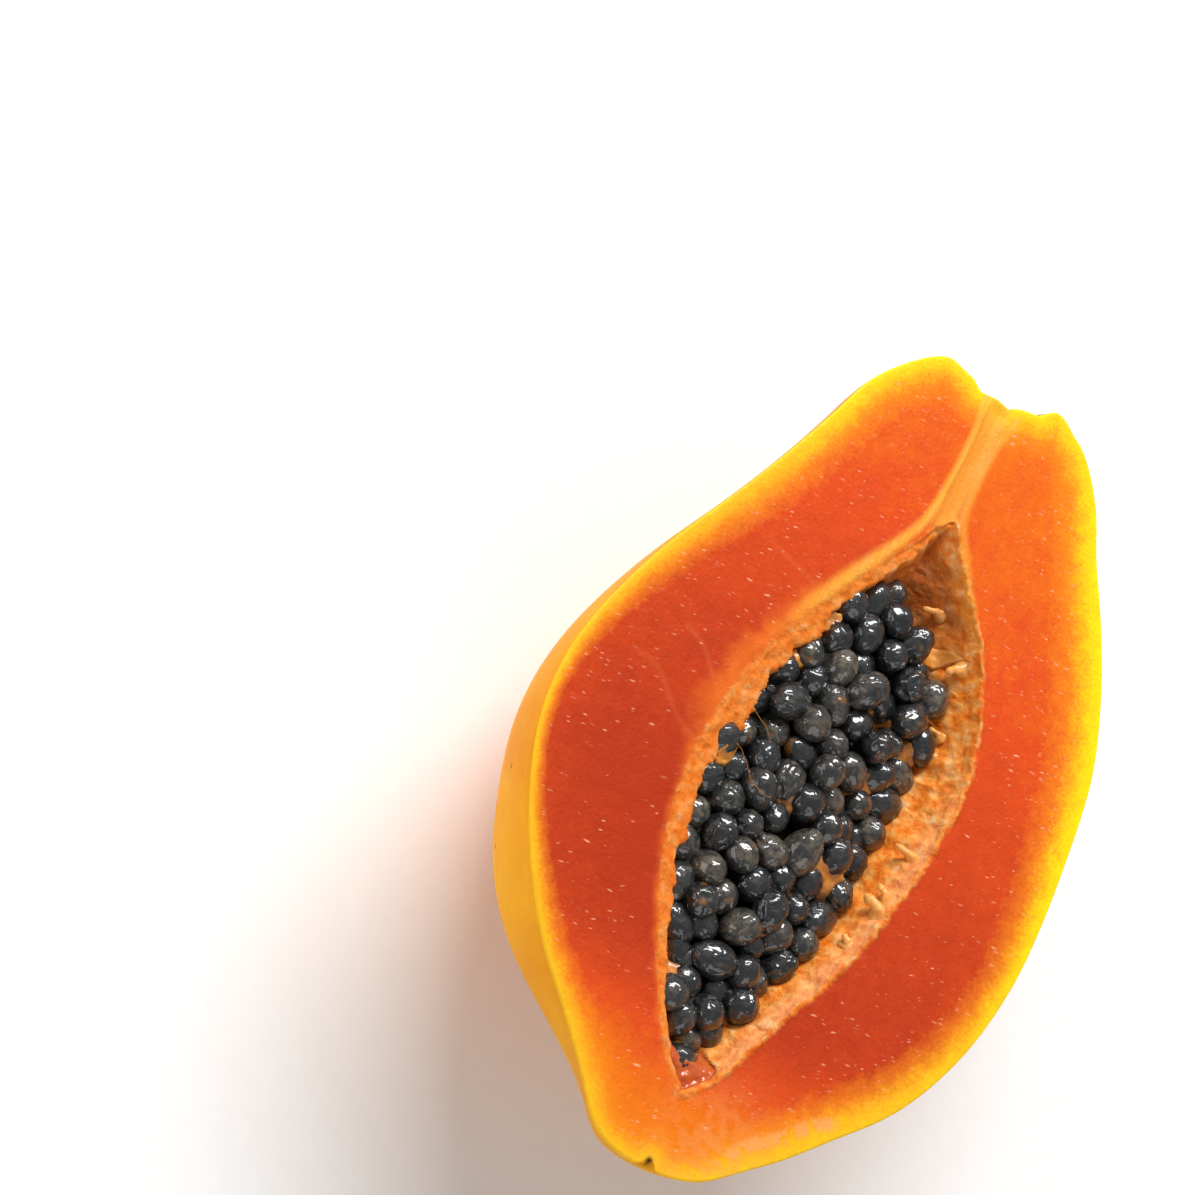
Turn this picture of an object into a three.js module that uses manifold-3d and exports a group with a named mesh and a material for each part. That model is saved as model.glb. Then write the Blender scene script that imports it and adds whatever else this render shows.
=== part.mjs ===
// Half of a ripe papaya, cut lengthwise, lying on its skin back with its seeds in the cavity.
//
// Millimetres. X runs across the cut face, +Y towards the stem end and +Z up out of the cut face.
// The fruit is built with its blossom end at the origin and its cut face in the plane z = 0, and
// is set down on its rest spot at the end.

import * as THREE from 'three';
import { mergeVertices } from 'three/addons/utils/BufferGeometryUtils.js';
import Module from 'manifold-3d';

const wasm = await Module();
wasm.setup();

// --- Driving dimensions ---------------------------------------------------------------------

// Skin outline in a plane through the axis, from the blossom dimple to the stem scar: [radius, y].
const SKIN_OUTLINE = [
  [0, 0.4], [0.9, 0.1], [1.8, -0.8], [3.6, -0.9], [9.6, 0.8], [16.6, 6.6], [25.2, 15.3],
  [32.8, 23], [38.5, 31.2], [43.4, 41.2], [46.5, 52], [47.2, 61.5], [46.2, 72.5], [42.7, 88],
  [37.4, 101.2], [31.5, 113.8], [27.4, 122], [22.9, 131.4], [15.9, 139.2], [12, 140.9],
  [8.6, 141.1], [7.2, 140.3], [5.9, 139.3], [2.5, 139], [0, 138],
];
const SKIN_STEPS = 2;             // mesh rows between two points of the outline
const SKIN_SIDES = 72;

const SKEW = 0.1;                 // the right flank sits this share nearer to the stem end
const AXIS_SHIFT = 0.1;           // the axis sways from side to side along the fruit
const AXIS_SWAY = 1.6;
const SWAY_START = 20;
const SWAY_LENGTH = 84;
const SWAY_IN = [0, 10];          // the sway grows and fades over these stretches
const SWAY_OUT = [115, 138];
const LOBE_HEIGHT = [0.004, 0.024];   // five faint lobes, as shares of the radius: belly, neck
const LOBE_BLEND = [70, 110];
const LOBE_FADE_RADIUS = 30;      // they fade out where the fruit is thinner than this
const DEPTH_TAPER = 0.0019;       // the stem half is a little deeper than wide, per mm from...
const DEPTH_TAPER_FROM = 62;      // ...this y
const STEM_LEAN = 0.17;           // rise of the scar's lip from left to right
const STEM_LEAN_FROM = 110;
const STEM_LEAN_RADIUS = [8, 14]; // it fades out between these radii
const REST_SPOT_CUT = 0.5;        // height pressed flat under the belly, where the half rests

// The full left flank and the dent below it: [angle in degrees, y, height, half length].
const FLANK_SWELLINGS = [[216, 30, 2.6, 14], [207, 7, -2.4, 7]];
const SWELLING_HALF_ANGLE = 25;

// Half width of the seed cavity in the cut face: [y, half width].
const CAVITY_OUTLINE = [
  [11, 0], [17, 5.2], [27, 10.6], [38, 16.1], [49.5, 20], [64, 22], [77, 21.2], [88, 17.4],
  [99, 11.8], [109, 4.5], [116, 0],
];
const CAVITY_ROWS = 30;
const CAVITY_SIDES = 48;
const CAVITY_DEPTH = 19;          // under the cut face, at the widest place
const CAVITY_DEPTH_POWER = 0.8;   // below 1, it stays deep where it narrows
const CAVITY_WALL_POWER = [1.15, 1.5];  // left, right wall: 1 is a V section, 2 an ellipse
const CAVITY_SHIFT = [-1.3, 1.8]; // of its middle: near the blossom end, near the stem end
const CAVITY_SHIFT_BLEND = [48, 92];
const CAVITY_SHIFT_KEPT = [30, 100];    // towards both tips the shift fades out

// Strand channel: the shallow groove from the stem scar to the tip of the cavity.
const STRAND_WIDTH = 4.6;
const STRAND_DEPTH = 0.8;
const STRAND_MIDDLE = -1.2;
const STRAND_FROM = 109;
const STRAND_TO = 141;
const STRAND_SIDES = 16;
const STRAND_ROWS = 8;

// Seeds: egg shapes heaped in the cavity.
const SEED_COUNT = 92;
const SEED_LENGTH = 7;
const SEED_WIDTH = 6.1;
const SEED_SIZE_SPREAD = 0.1;     // each seed is up to this share larger or smaller
const SEED_PITCH = 5.9;           // least distance between seed middles
const SEED_SINK = 4;              // seeds lie up to this deep under the top of the heap
const SEED_WALL_ROOM = [0.8, 1.8];    // from a seed's middle to the left, right wall
const SEED_TIP_ROOM = [4, 8];     // and to the cavity's tips
const SEED_SETTLE_ROUNDS = 90;
const SEED_DRAW_START = 48271;

// Top of the heap: near the cut face on the left, lower at the right wall and at both ends.
const HEAP_TOP = 0.6;
const HEAP_RIDGE_X = -9;
const HEAP_FALL_RIGHT = 0.0085;   // fall per square mm to the right of the ridge
const HEAP_FALL_LEFT = 0.012;
const HEAP_FALL_STEM = 1.3;
const HEAP_FALL_BLOSSOM = 2.2;
const HEAP_STEM_END = [84, 104];
const HEAP_BLOSSOM_END = [12, 30];
const POCKET_SLOPE = 0.85;        // seeds keep below the line y + slope * x = limit, which
const POCKET_LIMIT = 100.5;       // leaves an empty pocket at the stem end of the cavity
const POCKET_DEPTH = 12;          // of that pocket below the heap
const POCKET_BLEND = [-4, 8];     // from the line, where its slope starts and ends
const CORE_BELOW_HEAP = 5;        // the core under the seeds starts this deep
const CORE_PIECES = [12, 24, 1];  // parts of its top across, along and down
const SEED_BED_GAP = 0.6;         // between the seeds and the cavity wall
const SEED_BED_TIP_GAP = 0.72;    // and the cavity's tips

const FLESH_COLOUR = '#e0562a';
const SEED_COLOUR = '#2b2c2d';

// --- Curves ---------------------------------------------------------------------------------

function smoothStep(from, to, value) {
  const t = THREE.MathUtils.clamp((value - from) / (to - from), 0, 1);
  return t * t * (3 - 2 * t);
}

// Height at `x` of the smooth curve through `knots`, each [x, height], with even slopes at each.
function curveAt(knots, x) {
  const last = knots.length - 1;
  let i = 0;
  while (i < last - 1 && x > knots[i + 1][0]) i += 1;
  const slope = (k) => {
    const before = knots[Math.max(k - 1, 0)];
    const after = knots[Math.min(k + 1, last)];
    return (after[1] - before[1]) / (after[0] - before[0]);
  };
  const [x0, y0] = knots[i];
  const [x1, y1] = knots[i + 1];
  const span = x1 - x0;
  const t = (x - x0) / span;
  const bend = y1 - y0;
  const a = slope(i) * span - bend;
  const b = bend - slope(i + 1) * span;
  return y0 + t * bend + t * (1 - t) * (a * (1 - t) + b * t);
}

const cavityHalfWidth = (y) => Math.max(curveAt(CAVITY_OUTLINE, y), 0);

const [cavityFrom, cavityTo] = [CAVITY_OUTLINE[0][0], CAVITY_OUTLINE.at(-1)[0]];

const cavityMiddle = (y) => {
  const [nearBlossom, nearStem] = CAVITY_SHIFT;
  const drift = smoothStep(...CAVITY_SHIFT_BLEND, y) * (nearStem - nearBlossom);
  const [keptFrom, keptTo] = CAVITY_SHIFT_KEPT;
  const fade = smoothStep(cavityFrom, keptFrom, y) * (1 - smoothStep(keptTo, cavityTo, y));
  return (nearBlossom + drift) * fade;
};

const widestCavity = Math.max(...CAVITY_OUTLINE.map(([, halfWidth]) => halfWidth));
const cavityDepth = (y) => (
  CAVITY_DEPTH * (cavityHalfWidth(y) / widestCavity) ** CAVITY_DEPTH_POWER
);

const wallPower = (side) => CAVITY_WALL_POWER[side < 0 ? 0 : 1];

// Half width of the cavity at a depth, as a share of its half width at the cut face. The depth
// is given as a share of the whole depth, and a side below 0 is the left one.
const narrowing = (side, depth) => (1 - depth ** wallPower(side)) ** (1 / wallPower(side));

function heapTop(x, y) {
  const side = x - HEAP_RIDGE_X;
  const fall = side > 0 ? HEAP_FALL_RIGHT : HEAP_FALL_LEFT;
  const stem = HEAP_FALL_STEM * smoothStep(...HEAP_STEM_END, y);
  const blossom = HEAP_FALL_BLOSSOM * (1 - smoothStep(...HEAP_BLOSSOM_END, y));
  return HEAP_TOP - fall * side * side - stem - blossom;
}

// --- Solids ---------------------------------------------------------------------------------

// The closed geometry as a solid, after `move` has shifted each of its points.
function solid(geometry, move = () => {}) {
  geometry.deleteAttribute('normal');
  geometry.deleteAttribute('uv');
  const position = geometry.attributes.position;
  const point = new THREE.Vector3();
  for (let i = 0; i < position.count; i += 1) {
    point.fromBufferAttribute(position, i);
    move(point);
    position.setXYZ(i, point.x, point.y, point.z);
  }
  const merged = mergeVertices(geometry, 1e-4);
  return new wasm.Manifold(new wasm.Mesh({
    numProp: 3,
    vertProperties: merged.attributes.position.array,
    triVerts: Uint32Array.from(merged.index.array),
  }));
}

function meshOf(body, name, colour, roughness) {
  const { vertProperties, triVerts } = body.getMesh();
  const geometry = new THREE.BufferGeometry();
  geometry.setAttribute('position', new THREE.BufferAttribute(vertProperties, 3));
  geometry.setIndex(new THREE.BufferAttribute(triVerts, 1));
  geometry.computeVertexNormals();
  const material = new THREE.MeshStandardMaterial({ color: colour, roughness, metalness: 0 });
  const mesh = new THREE.Mesh(geometry, material);
  mesh.name = name;
  return mesh;
}

// A bar of radius 1 along the Y axis.
function turned(from, to, rows, sides) {
  const profile = [new THREE.Vector2(0, from)];
  for (let row = 1; row < rows; row += 1) {
    profile.push(new THREE.Vector2(1, from + (to - from) * (row / rows)));
  }
  profile.push(new THREE.Vector2(0, to));
  return new THREE.LatheGeometry(profile, sides);
}

// --- Fruit ----------------------------------------------------------------------------------

// Share by which the fruit is thicker than round at this place on its skin.
function swelling(radius, angle, y) {
  const [belly, neck] = LOBE_HEIGHT;
  const lobes = belly + (neck - belly) * smoothStep(...LOBE_BLEND, y);
  let share = lobes * smoothStep(0, LOBE_FADE_RADIUS, radius) * Math.sin(5 * angle);
  for (const [degrees, at, height, halfLength] of FLANK_SWELLINGS) {
    const turn = THREE.MathUtils.euclideanModulo(THREE.MathUtils.radToDeg(angle) - degrees, 360);
    const off = Math.min(turn, 360 - turn) / SWELLING_HALF_ANGLE;
    const along = (y - at) / halfLength;
    share += (height * Math.exp(-off * off - along * along)) / Math.max(radius, 1);
  }
  return share;
}

// Turns the even round fruit into the lobed, skewed, slightly swaying one.
function growSkin(point) {
  const { x, y, z } = point;
  const radius = Math.hypot(x, z);
  const swell = 1 + swelling(radius, Math.atan2(z, x), y);
  const sway = AXIS_SHIFT + AXIS_SWAY * Math.cos((2 * Math.PI * (y - SWAY_START)) / SWAY_LENGTH);
  const fade = smoothStep(...SWAY_IN, y) * (1 - smoothStep(...SWAY_OUT, y));
  const depth = 1 + DEPTH_TAPER * (y - DEPTH_TAPER_FROM);
  const lip = y > STEM_LEAN_FROM ? STEM_LEAN * (1 - smoothStep(...STEM_LEAN_RADIUS, radius)) : 0;
  point.set(x * swell + sway * fade, y + (SKEW + lip) * x, z * swell * depth);
}

function wholeFruit() {
  const outline = new THREE.CatmullRomCurve3(
    SKIN_OUTLINE.map(([radius, y]) => new THREE.Vector3(radius, y, 0)),
  );
  const profile = outline.getPoints(SKIN_STEPS * (SKIN_OUTLINE.length - 1))
    .map((p, i, all) => new THREE.Vector2(i === 0 || i === all.length - 1 ? 0 : p.x, p.y));
  return new THREE.LatheGeometry(profile, SKIN_SIDES);
}

// The cavity, or with an inset the space that its filling has. It is a closed form on both sides
// of the cut face, with rounded walls that slope in towards the bottom.
function cavity(inset = 0, tipInset = 0) {
  const form = turned(cavityFrom + tipInset, cavityTo - tipInset, CAVITY_ROWS, CAVITY_SIDES);
  return solid(form, (point) => {
    const { x, y, z } = point;
    const round = (part) => Math.sign(part) * Math.abs(part) ** (2 / wallPower(x));
    const across = cavityMiddle(y) + (cavityHalfWidth(y) - inset) * round(x);
    const down = (cavityDepth(y) - inset) * round(z);
    point.set(across, y + SKEW * across, down);
  });
}

function strandChannel() {
  const form = turned(STRAND_FROM, STRAND_TO, STRAND_ROWS, STRAND_SIDES);
  return solid(form, (point) => {
    point.x = STRAND_MIDDLE + (STRAND_WIDTH / 2) * point.x;
    point.z *= STRAND_DEPTH;
  });
}

function papayaHalf() {
  const skin = wholeFruit();
  const grown = solid(skin, growSkin);
  skin.computeBoundingBox();
  const { min, max } = skin.boundingBox;
  const restHeight = min.z + REST_SPOT_CUT;
  const keep = new THREE.BoxGeometry(2 * (max.x - min.x), 2 * (max.y - min.y), -restHeight);
  keep.translate(0, (min.y + max.y) / 2, restHeight / 2);
  return grown.intersect(solid(keep)).subtract(cavity()).subtract(strandChannel());
}

// --- Seeds ----------------------------------------------------------------------------------

// Even draws from 0 to 1, the same ones in every run.
let drawState = SEED_DRAW_START;
function draw() {
  drawState = (drawState * 16807) % 2147483647;
  return drawState / 2147483647;
}

// Keeps a seed's middle off the cavity wall and out of the empty pocket, and on the heap.
function settle(seed) {
  const [blossomRoom, stemRoom] = SEED_TIP_ROOM;
  seed.y = THREE.MathUtils.clamp(seed.y, cavityFrom + blossomRoom, cavityTo - stemRoom);
  const past = seed.y + POCKET_SLOPE * seed.x - POCKET_LIMIT;
  if (past > 0) {
    const share = past / (1 + POCKET_SLOPE ** 2);
    seed.x -= POCKET_SLOPE * share;
    seed.y -= share;
  }
  seed.z = heapTop(seed.x, seed.y) - seed.sink - SEED_WIDTH / 2;
  const deep = THREE.MathUtils.clamp(-seed.z / cavityDepth(seed.y), 0, 1);
  const middle = cavityMiddle(seed.y);
  const side = Math.sign(seed.x - middle);
  const fromWall = SEED_WALL_ROOM[side < 0 ? 0 : 1];
  const room = Math.max(cavityHalfWidth(seed.y) * narrowing(side, deep) - fromWall, 0);
  seed.x = THREE.MathUtils.clamp(seed.x, middle - room, middle + room);
}

// Seed middles: scattered over the cavity, then pushed apart until none crowds another.
function seedPlaces() {
  const seeds = [];
  while (seeds.length < SEED_COUNT) {
    const y = cavityFrom + (cavityTo - cavityFrom) * draw();
    const x = widestCavity * (2 * draw() - 1);
    const sink = SEED_SINK * draw();
    const inside = Math.abs(x - cavityMiddle(y)) < cavityHalfWidth(y);
    if (inside && y + POCKET_SLOPE * x < POCKET_LIMIT) seeds.push({ x, y, z: 0, sink });
  }
  for (let round = 0; round < SEED_SETTLE_ROUNDS; round += 1) {
    seeds.forEach(settle);
    for (let i = 0; i < seeds.length; i += 1) {
      for (let j = 0; j < i; j += 1) {
        const [a, b] = [seeds[i], seeds[j]];
        const [dx, dy, dz] = [a.x - b.x, a.y - b.y, a.z - b.z];
        const apart = Math.sqrt(dx * dx + dy * dy + dz * dz);
        if (apart < SEED_PITCH) {
          const push = (0.5 * (SEED_PITCH - apart)) / Math.max(Math.hypot(dx, dy), 0.5);
          a.x += push * dx;
          a.y += push * dy;
          b.x -= push * dx;
          b.y -= push * dy;
        }
      }
    }
  }
  seeds.forEach(settle);
  return seeds;
}

function seed(place) {
  const size = 1 + SEED_SIZE_SPREAD * (2 * draw() - 1);
  const turn = new THREE.Euler(Math.PI * draw(), Math.PI * draw(), Math.PI * draw());
  const form = new THREE.OctahedronGeometry(1, 1);
  form.scale(SEED_WIDTH / 2 * size, SEED_LENGTH / 2 * size, SEED_WIDTH / 2 * size);
  form.applyMatrix4(new THREE.Matrix4().makeRotationFromEuler(turn));
  form.translate(place.x, place.y + SKEW * place.x, place.z);
  return solid(form);
}

// What the seeds stand out of: the filling of the cavity from just under the top of the heap.
function seedCore() {
  const floor = -2 * CAVITY_DEPTH;
  const slab = new THREE.BoxGeometry(
    3 * widestCavity, cavityTo - cavityFrom, -floor, ...CORE_PIECES,
  );
  slab.translate(0, (cavityFrom + cavityTo) / 2, floor / 2);
  return solid(slab, (point) => {
    if (point.z > floor / 2) {
      const past = point.y + POCKET_SLOPE * point.x - POCKET_LIMIT;
      const pocket = POCKET_DEPTH * smoothStep(...POCKET_BLEND, past);
      point.z = heapTop(point.x, point.y) - CORE_BELOW_HEAP - pocket;
    }
    point.y += SKEW * point.x;
  });
}

function seedHeap() {
  let heap = seedCore();
  for (const place of seedPlaces()) heap = heap.add(seed(place));
  return heap.intersect(cavity(SEED_BED_GAP, SEED_BED_TIP_GAP));
}

// --- The part -------------------------------------------------------------------------------

const papaya = new THREE.Group();
papaya.add(meshOf(papayaHalf(), 'papaya_half', FLESH_COLOUR, 0.45));
papaya.add(meshOf(seedHeap(), 'seeds', SEED_COLOUR, 0.2));

// Set down: the rest spot at z = 0, with the middle of its outline over the origin.
const bounds = new THREE.Box3().setFromObject(papaya);
const middle = bounds.getCenter(new THREE.Vector3());
papaya.position.set(-middle.x, -middle.y, -bounds.min.z);

export default papaya;
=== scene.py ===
"""Halved ripe papaya, lying on its skin with the cut face up: skin, flesh, seed cavity and seeds.

Sizes are in millimetres in the fruit's own frame: the blossom end at the origin, y along the axis
to the stem end, x across and z = 0 the cut face. mesh_piece() sets them down in the CAD frame.
"""

import functools
import math

import bmesh
import bpy
import numpy as np
from bpy.props import FloatProperty, FloatVectorProperty, PointerProperty
from mathutils import Matrix, Vector, kdtree, noise


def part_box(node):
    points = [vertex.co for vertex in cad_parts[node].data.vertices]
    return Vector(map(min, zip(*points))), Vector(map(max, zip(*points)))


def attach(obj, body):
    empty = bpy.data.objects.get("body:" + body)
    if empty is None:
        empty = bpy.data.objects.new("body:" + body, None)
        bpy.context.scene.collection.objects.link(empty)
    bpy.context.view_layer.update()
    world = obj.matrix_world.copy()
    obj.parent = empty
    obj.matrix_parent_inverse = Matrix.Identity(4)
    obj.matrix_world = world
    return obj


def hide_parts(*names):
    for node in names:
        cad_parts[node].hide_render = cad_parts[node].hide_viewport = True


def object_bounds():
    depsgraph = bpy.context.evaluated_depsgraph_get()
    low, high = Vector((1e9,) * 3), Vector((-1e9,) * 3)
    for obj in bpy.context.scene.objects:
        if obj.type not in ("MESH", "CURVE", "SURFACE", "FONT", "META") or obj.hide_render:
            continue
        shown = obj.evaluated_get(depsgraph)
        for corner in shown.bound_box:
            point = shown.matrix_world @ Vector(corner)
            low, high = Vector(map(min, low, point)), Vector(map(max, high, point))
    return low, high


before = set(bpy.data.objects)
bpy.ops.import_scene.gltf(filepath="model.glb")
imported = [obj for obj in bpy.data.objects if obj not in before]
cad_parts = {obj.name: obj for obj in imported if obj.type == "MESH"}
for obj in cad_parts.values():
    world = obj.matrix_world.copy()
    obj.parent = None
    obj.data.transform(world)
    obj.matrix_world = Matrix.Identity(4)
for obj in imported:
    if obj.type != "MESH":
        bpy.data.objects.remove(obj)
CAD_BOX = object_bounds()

bl_info = {
    "name": "Halved Papaya",
    "version": (1, 0, 0),
    "blender": (4, 5, 0),
    "location": "3D View > Sidebar > Papaya",
    "description": "Builds the wet cut face, waxy skin, seed cavity and seeds of a halved papaya",
    "category": "Add Mesh",
}

MM = 0.001

# --- The fruit's form, as in the CAD part ------------------------------------------------------

SKIN_OUTLINE = [
    (0, 0.4), (0.9, 0.1), (1.8, -0.8), (3.6, -0.9), (9.6, 0.8), (16.6, 6.6), (25.2, 15.3),
    (32.8, 23), (38.5, 31.2), (43.4, 41.2), (46.5, 52), (47.2, 61.5), (46.2, 72.5), (42.7, 88),
    (37.4, 101.2), (31.5, 113.8), (27.4, 122), (22.9, 131.4), (15.9, 139.2), (12, 140.9),
    (8.6, 141.1), (7.2, 140.3), (5.9, 139.3), (2.5, 139), (0, 138),
]
SKEW = 0.1
AXIS_SHIFT, AXIS_SWAY, SWAY_START, SWAY_LENGTH = 0.1, 1.6, 20, 84
SWAY_IN, SWAY_OUT = (0, 10), (115, 138)
LOBE_HEIGHT, LOBE_BLEND, LOBE_FADE_RADIUS = (0.004, 0.024), (70, 110), 30
DEPTH_TAPER, DEPTH_TAPER_FROM = 0.0019, 62
STEM_LEAN, STEM_LEAN_FROM, STEM_LEAN_RADIUS = 0.17, 110, (8, 14)
REST_SPOT_CUT = 0.5
FLANK_SWELLINGS = [(216, 30, 2.6, 14), (207, 7, -2.4, 7)]
SWELLING_HALF_ANGLE = 25

CAVITY_OUTLINE = [
    (11, 0), (17, 5.2), (27, 10.6), (38, 16.1), (49.5, 20), (64, 22), (77, 21.2), (88, 17.4),
    (99, 11.8), (109, 4.5), (116, 0),
]
CAVITY_FROM, CAVITY_TO = CAVITY_OUTLINE[0][0], CAVITY_OUTLINE[-1][0]
CAVITY_WIDEST = max(half for _, half in CAVITY_OUTLINE)
CAVITY_DEPTH, CAVITY_DEPTH_POWER = 19, 0.8
CAVITY_WALL_POWER = (1.15, 1.5)
CAVITY_SHIFT, CAVITY_SHIFT_BLEND, CAVITY_SHIFT_KEPT = (-1.3, 1.8), (48, 92), (30, 100)
STRAND_WIDTH, STRAND_DEPTH, STRAND_MIDDLE, STRAND_FROM = 4.6, 0.8, -1.2, 109

SEED_COUNT = 92
SEED_LENGTH, SEED_WIDTH, SEED_SIZE_SPREAD = 7, 6.1, 0.1
SEED_PITCH, SEED_SINK, SEED_WALL_ROOM, SEED_TIP_ROOM = 5.9, 4, (0.8, 1.8), (4, 8)
SEED_SETTLE_ROUNDS = 90
SEED_DRAW_START = 48271
HEAP_TOP, HEAP_RIDGE_X, HEAP_FALL = 0.6, -9, (0.012, 0.0085)
HEAP_FALL_STEM, HEAP_STEM_END = 1.3, (84, 104)
HEAP_FALL_BLOSSOM, HEAP_BLOSSOM_END = 2.2, (12, 30)
POCKET_SLOPE, POCKET_LIMIT = 0.85, 100.5

# --- How finely the fruit is meshed, and the forms that only the finished fruit has -------------

ROWS = 350                # from the blossom end to the stem end
ROW_CROWDING = 0.35       # rows stand this share closer at both ends
SKIN_COLUMNS = 80
FACE_COLUMNS = 44
WALL_COLUMNS = 96
WALL_CROWDING = 0.5       # columns stand this share closer at both lips
RIM_ROWS = (0, 0.3, 0.65, 1)   # rows over the rounded rim, as shares of its radius
WELD_SIZE = 1e-4          # points nearer than this are one
EDGE_FADE = 4             # half width over which rounded edges come in at both ends

SOFT_LIP_WIDTH = 3.5      # of the left lip's slope, as a share of its drop
SOFT_LIP_FROM, SOFT_LIP_TO = (16, 34), (84, 102)
STRAND_FIBRES = 0.035     # height of the fibres along the strand
FACE_RELIEF = 0.07        # height of the swellings in the wet cut face
FACE_RELIEF_SIZE = 5

# Faint paler veins in the flesh, each from its outer end to the lining.
VEINS = [
    [(-33.5, 73.5), (-29.5, 72.2), (-26, 69.2), (-23.4, 66.9)],
    [(-38.5, 65.5), (-34.6, 65), (-30, 61.6), (-26.4, 59.5), (-23.6, 58.9)],
    [(-27.4, 93.5), (-22.5, 92.6), (-18.4, 92), (-15.6, 89.6)],
]
VEIN_HALF_WIDTH = 0.4

# The pale strand's two edges, which run on as bands along the lips of the cavity.
STRAND_EDGES = [
    ([(-4.6, 139), (-3.6, 133), (-3.5, 124.4), (-4.6, 113.4), (-6.6, 108), (-9.4, 102.4),
      (-12.2, 97), (-16.4, 88.6), (-19.6, 81)], 0.8),
    ([(2.6, 137.6), (1.1, 131), (0.8, 122.6), (1.7, 116), (5, 111), (9.4, 104.5), (14.6, 95)], 0.5),
]

# The torn shelf that the flesh leaves over the seeds on the left: its width along the fruit.
SHELF_WIDTH = [
    (11, 0.2), (18, 0.6), (30, 1.2), (42, 2.4), (58, 3.6), (76, 4.2), (90, 2.6), (104, 1.4),
    (116, 0.2),
]
SHELF_SLOPE, SHELF_EDGE = 0.26, 1.4
SHELF_RAGGED, SHELF_RAGGED_SIZES, SHELF_RAGGED_SHARE = (1.1, 0.6), (5, 1.5), 0.5

# Stubs that held the seeds, standing on the right lining: (x, y, length, lean in degrees,
# thickness as a multiple of the radii below).
STUBS = [
    (20.4, 62.5, 3.2, 168, 1.1), (19, 54.4, 2.4, 140, 1), (18.6, 51.8, 3.2, 158, 1.6),
    (7.6, 102.6, 2.6, 200, 1), (17.4, 84.2, 2, 170, 0.9), (18.2, 80.6, 1.6, 200, 0.8),
    (14.4, 95, 2.4, 215, 1.3), (16.4, 45.4, 1.2, 150, 1),
]
STUB_TONES = (0.6, 0.95)   # how pale they are at the root and at the tip
STUB_RADIUS, STUB_ROOT, STUB_KNOB = 0.36, 1.1, 0.14   # all along, more at the root and at the knob
STUB_ROOT_LENGTH, STUB_KNOB_AT, STUB_KNOB_LENGTH = 0.3, 0.8, 0.16   # as shares of its length
STUB_RISE, STUB_DROOP = 0.5, 0.75                     # the same, up at the root and down at the tip
STUB_BURIED, STUB_TIP = 0.25, 0.2                     # the same, of its root and its rounded tip
STUB_BEND, STUB_BEND_SIZE, STUB_LUMPS, STUB_LUMP_SIZE = 0.5, 1.6, 0.16, 1.2
STUB_RINGS, STUB_SIDES = 24, 16

# Threads of torn lining across the seeds on the left: (x, y) from the lining inwards, and height.
THREADS = [
    ([(-17.4, 62.2), (-14.6, 60.6), (-12.4, 58.6), (-10.2, 57.8), (-8.2, 58)], 0.4),
    ([(-17.2, 68.2), (-14.8, 67.6), (-12.4, 65.4)], 0.1),
    ([(16.2, 85.4), (12.8, 85.6), (9.6, 84.2)], -3.4),
]
THREAD_RADIUS, THREAD_SIDES, THREAD_TONE = 0.06, 6, 0.15
THREAD_SWAY, THREAD_SWAY_SIZE = 0.3, 2.5

# Amber pulp left between the seeds: (x, y, half length, half width, turn in degrees, how far it
# stands over the seeds, how pale it is).
PULP = [
    (9.1, 54, 5.4, 4.4, 60, -0.1, 0.5), (-12.4, 83, 3.6, 2.6, 70, 0, 0.8),
    (8.5, 70, 4, 3, 30, -1, 0.3), (-8.6, 30.4, 4.4, 2.8, 110, -1, 0.6),
    (-12.8, 33.4, 3, 1.6, 100, -1.3, 0.6), (10.6, 95.6, 4.8, 2.4, 14, 0.1, 0.85),
    (6.3, 81, 4, 3, 10, -0.8, 0.5), (-16.9, 62.6, 4, 2.4, 60, 0, 0.8),
    (-10.4, 90.4, 3, 2, 60, 0.2, 0.7), (5.4, 24.6, 4, 3, 60, -1.4, 0.5),
    (-2.6, 60.4, 4, 3, 30, -1, 0.35), (14.2, 78.6, 4, 3, 90, -0.6, 0.5),
    (1.6, 41, 4, 3, 0, -1.1, 0.35),
]
PULP_RINGS, PULP_SIDES = 26, 64
# How ragged its outline is, as a share, how far it swells and how thick it is.
PULP_RAGGED, PULP_SWELL, PULP_THICKNESS = 0.4, 0.3, 0.8
PULP_RAGGED_SIZE, PULP_SWELL_SIZE = 1.1, 2
PULP_EDGE, PULP_EDGE_FROM = 1.9, 0.55   # how far its edge sinks, and the share where that starts
PULP_OVER_SEED = 1.2                    # how far over a seed its colour is full
SEED_TOPS_STEP, SEED_TOPS_BLUR = 0.3, 1.1   # grid of the heights that it is draped over, evened

# Juice pooled in the blossom end of the cavity: its level, how far it falls away and over which y.
POOL_LEVEL, POOL_FALL, POOL_END = -1.5, 20, (16, 27)
POOL_EDGE = 0.2           # softness of the line where the juice meets the wall
POOL_SHORE = (3 * POOL_EDGE, 0.6 * POOL_EDGE)   # heights over the juice where its look ends
POOL_RIPPLE, POOL_RIPPLE_SIZE = 0.34, 1.2

# A painted glare: a pale streak of wet sheen painted along the right edge near the blossom end,
# where the flesh is also glossier.
GLARE_PATH = [(10.1, 6.1), (12.6, 8.7), (15.3, 11.4), (18.3, 13.7), (21.9, 17.5), (25.7, 20.4)]
GLARE_HALF_WIDTH = (0.5, 1.6)
# A fainter painted glare between it and the cavity, where thinner juice lies.
WET_FILM_GLARE, WET_FILM_PLACE, WET_FILM_SPREAD = 0.45, (8, 8), 70

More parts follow.
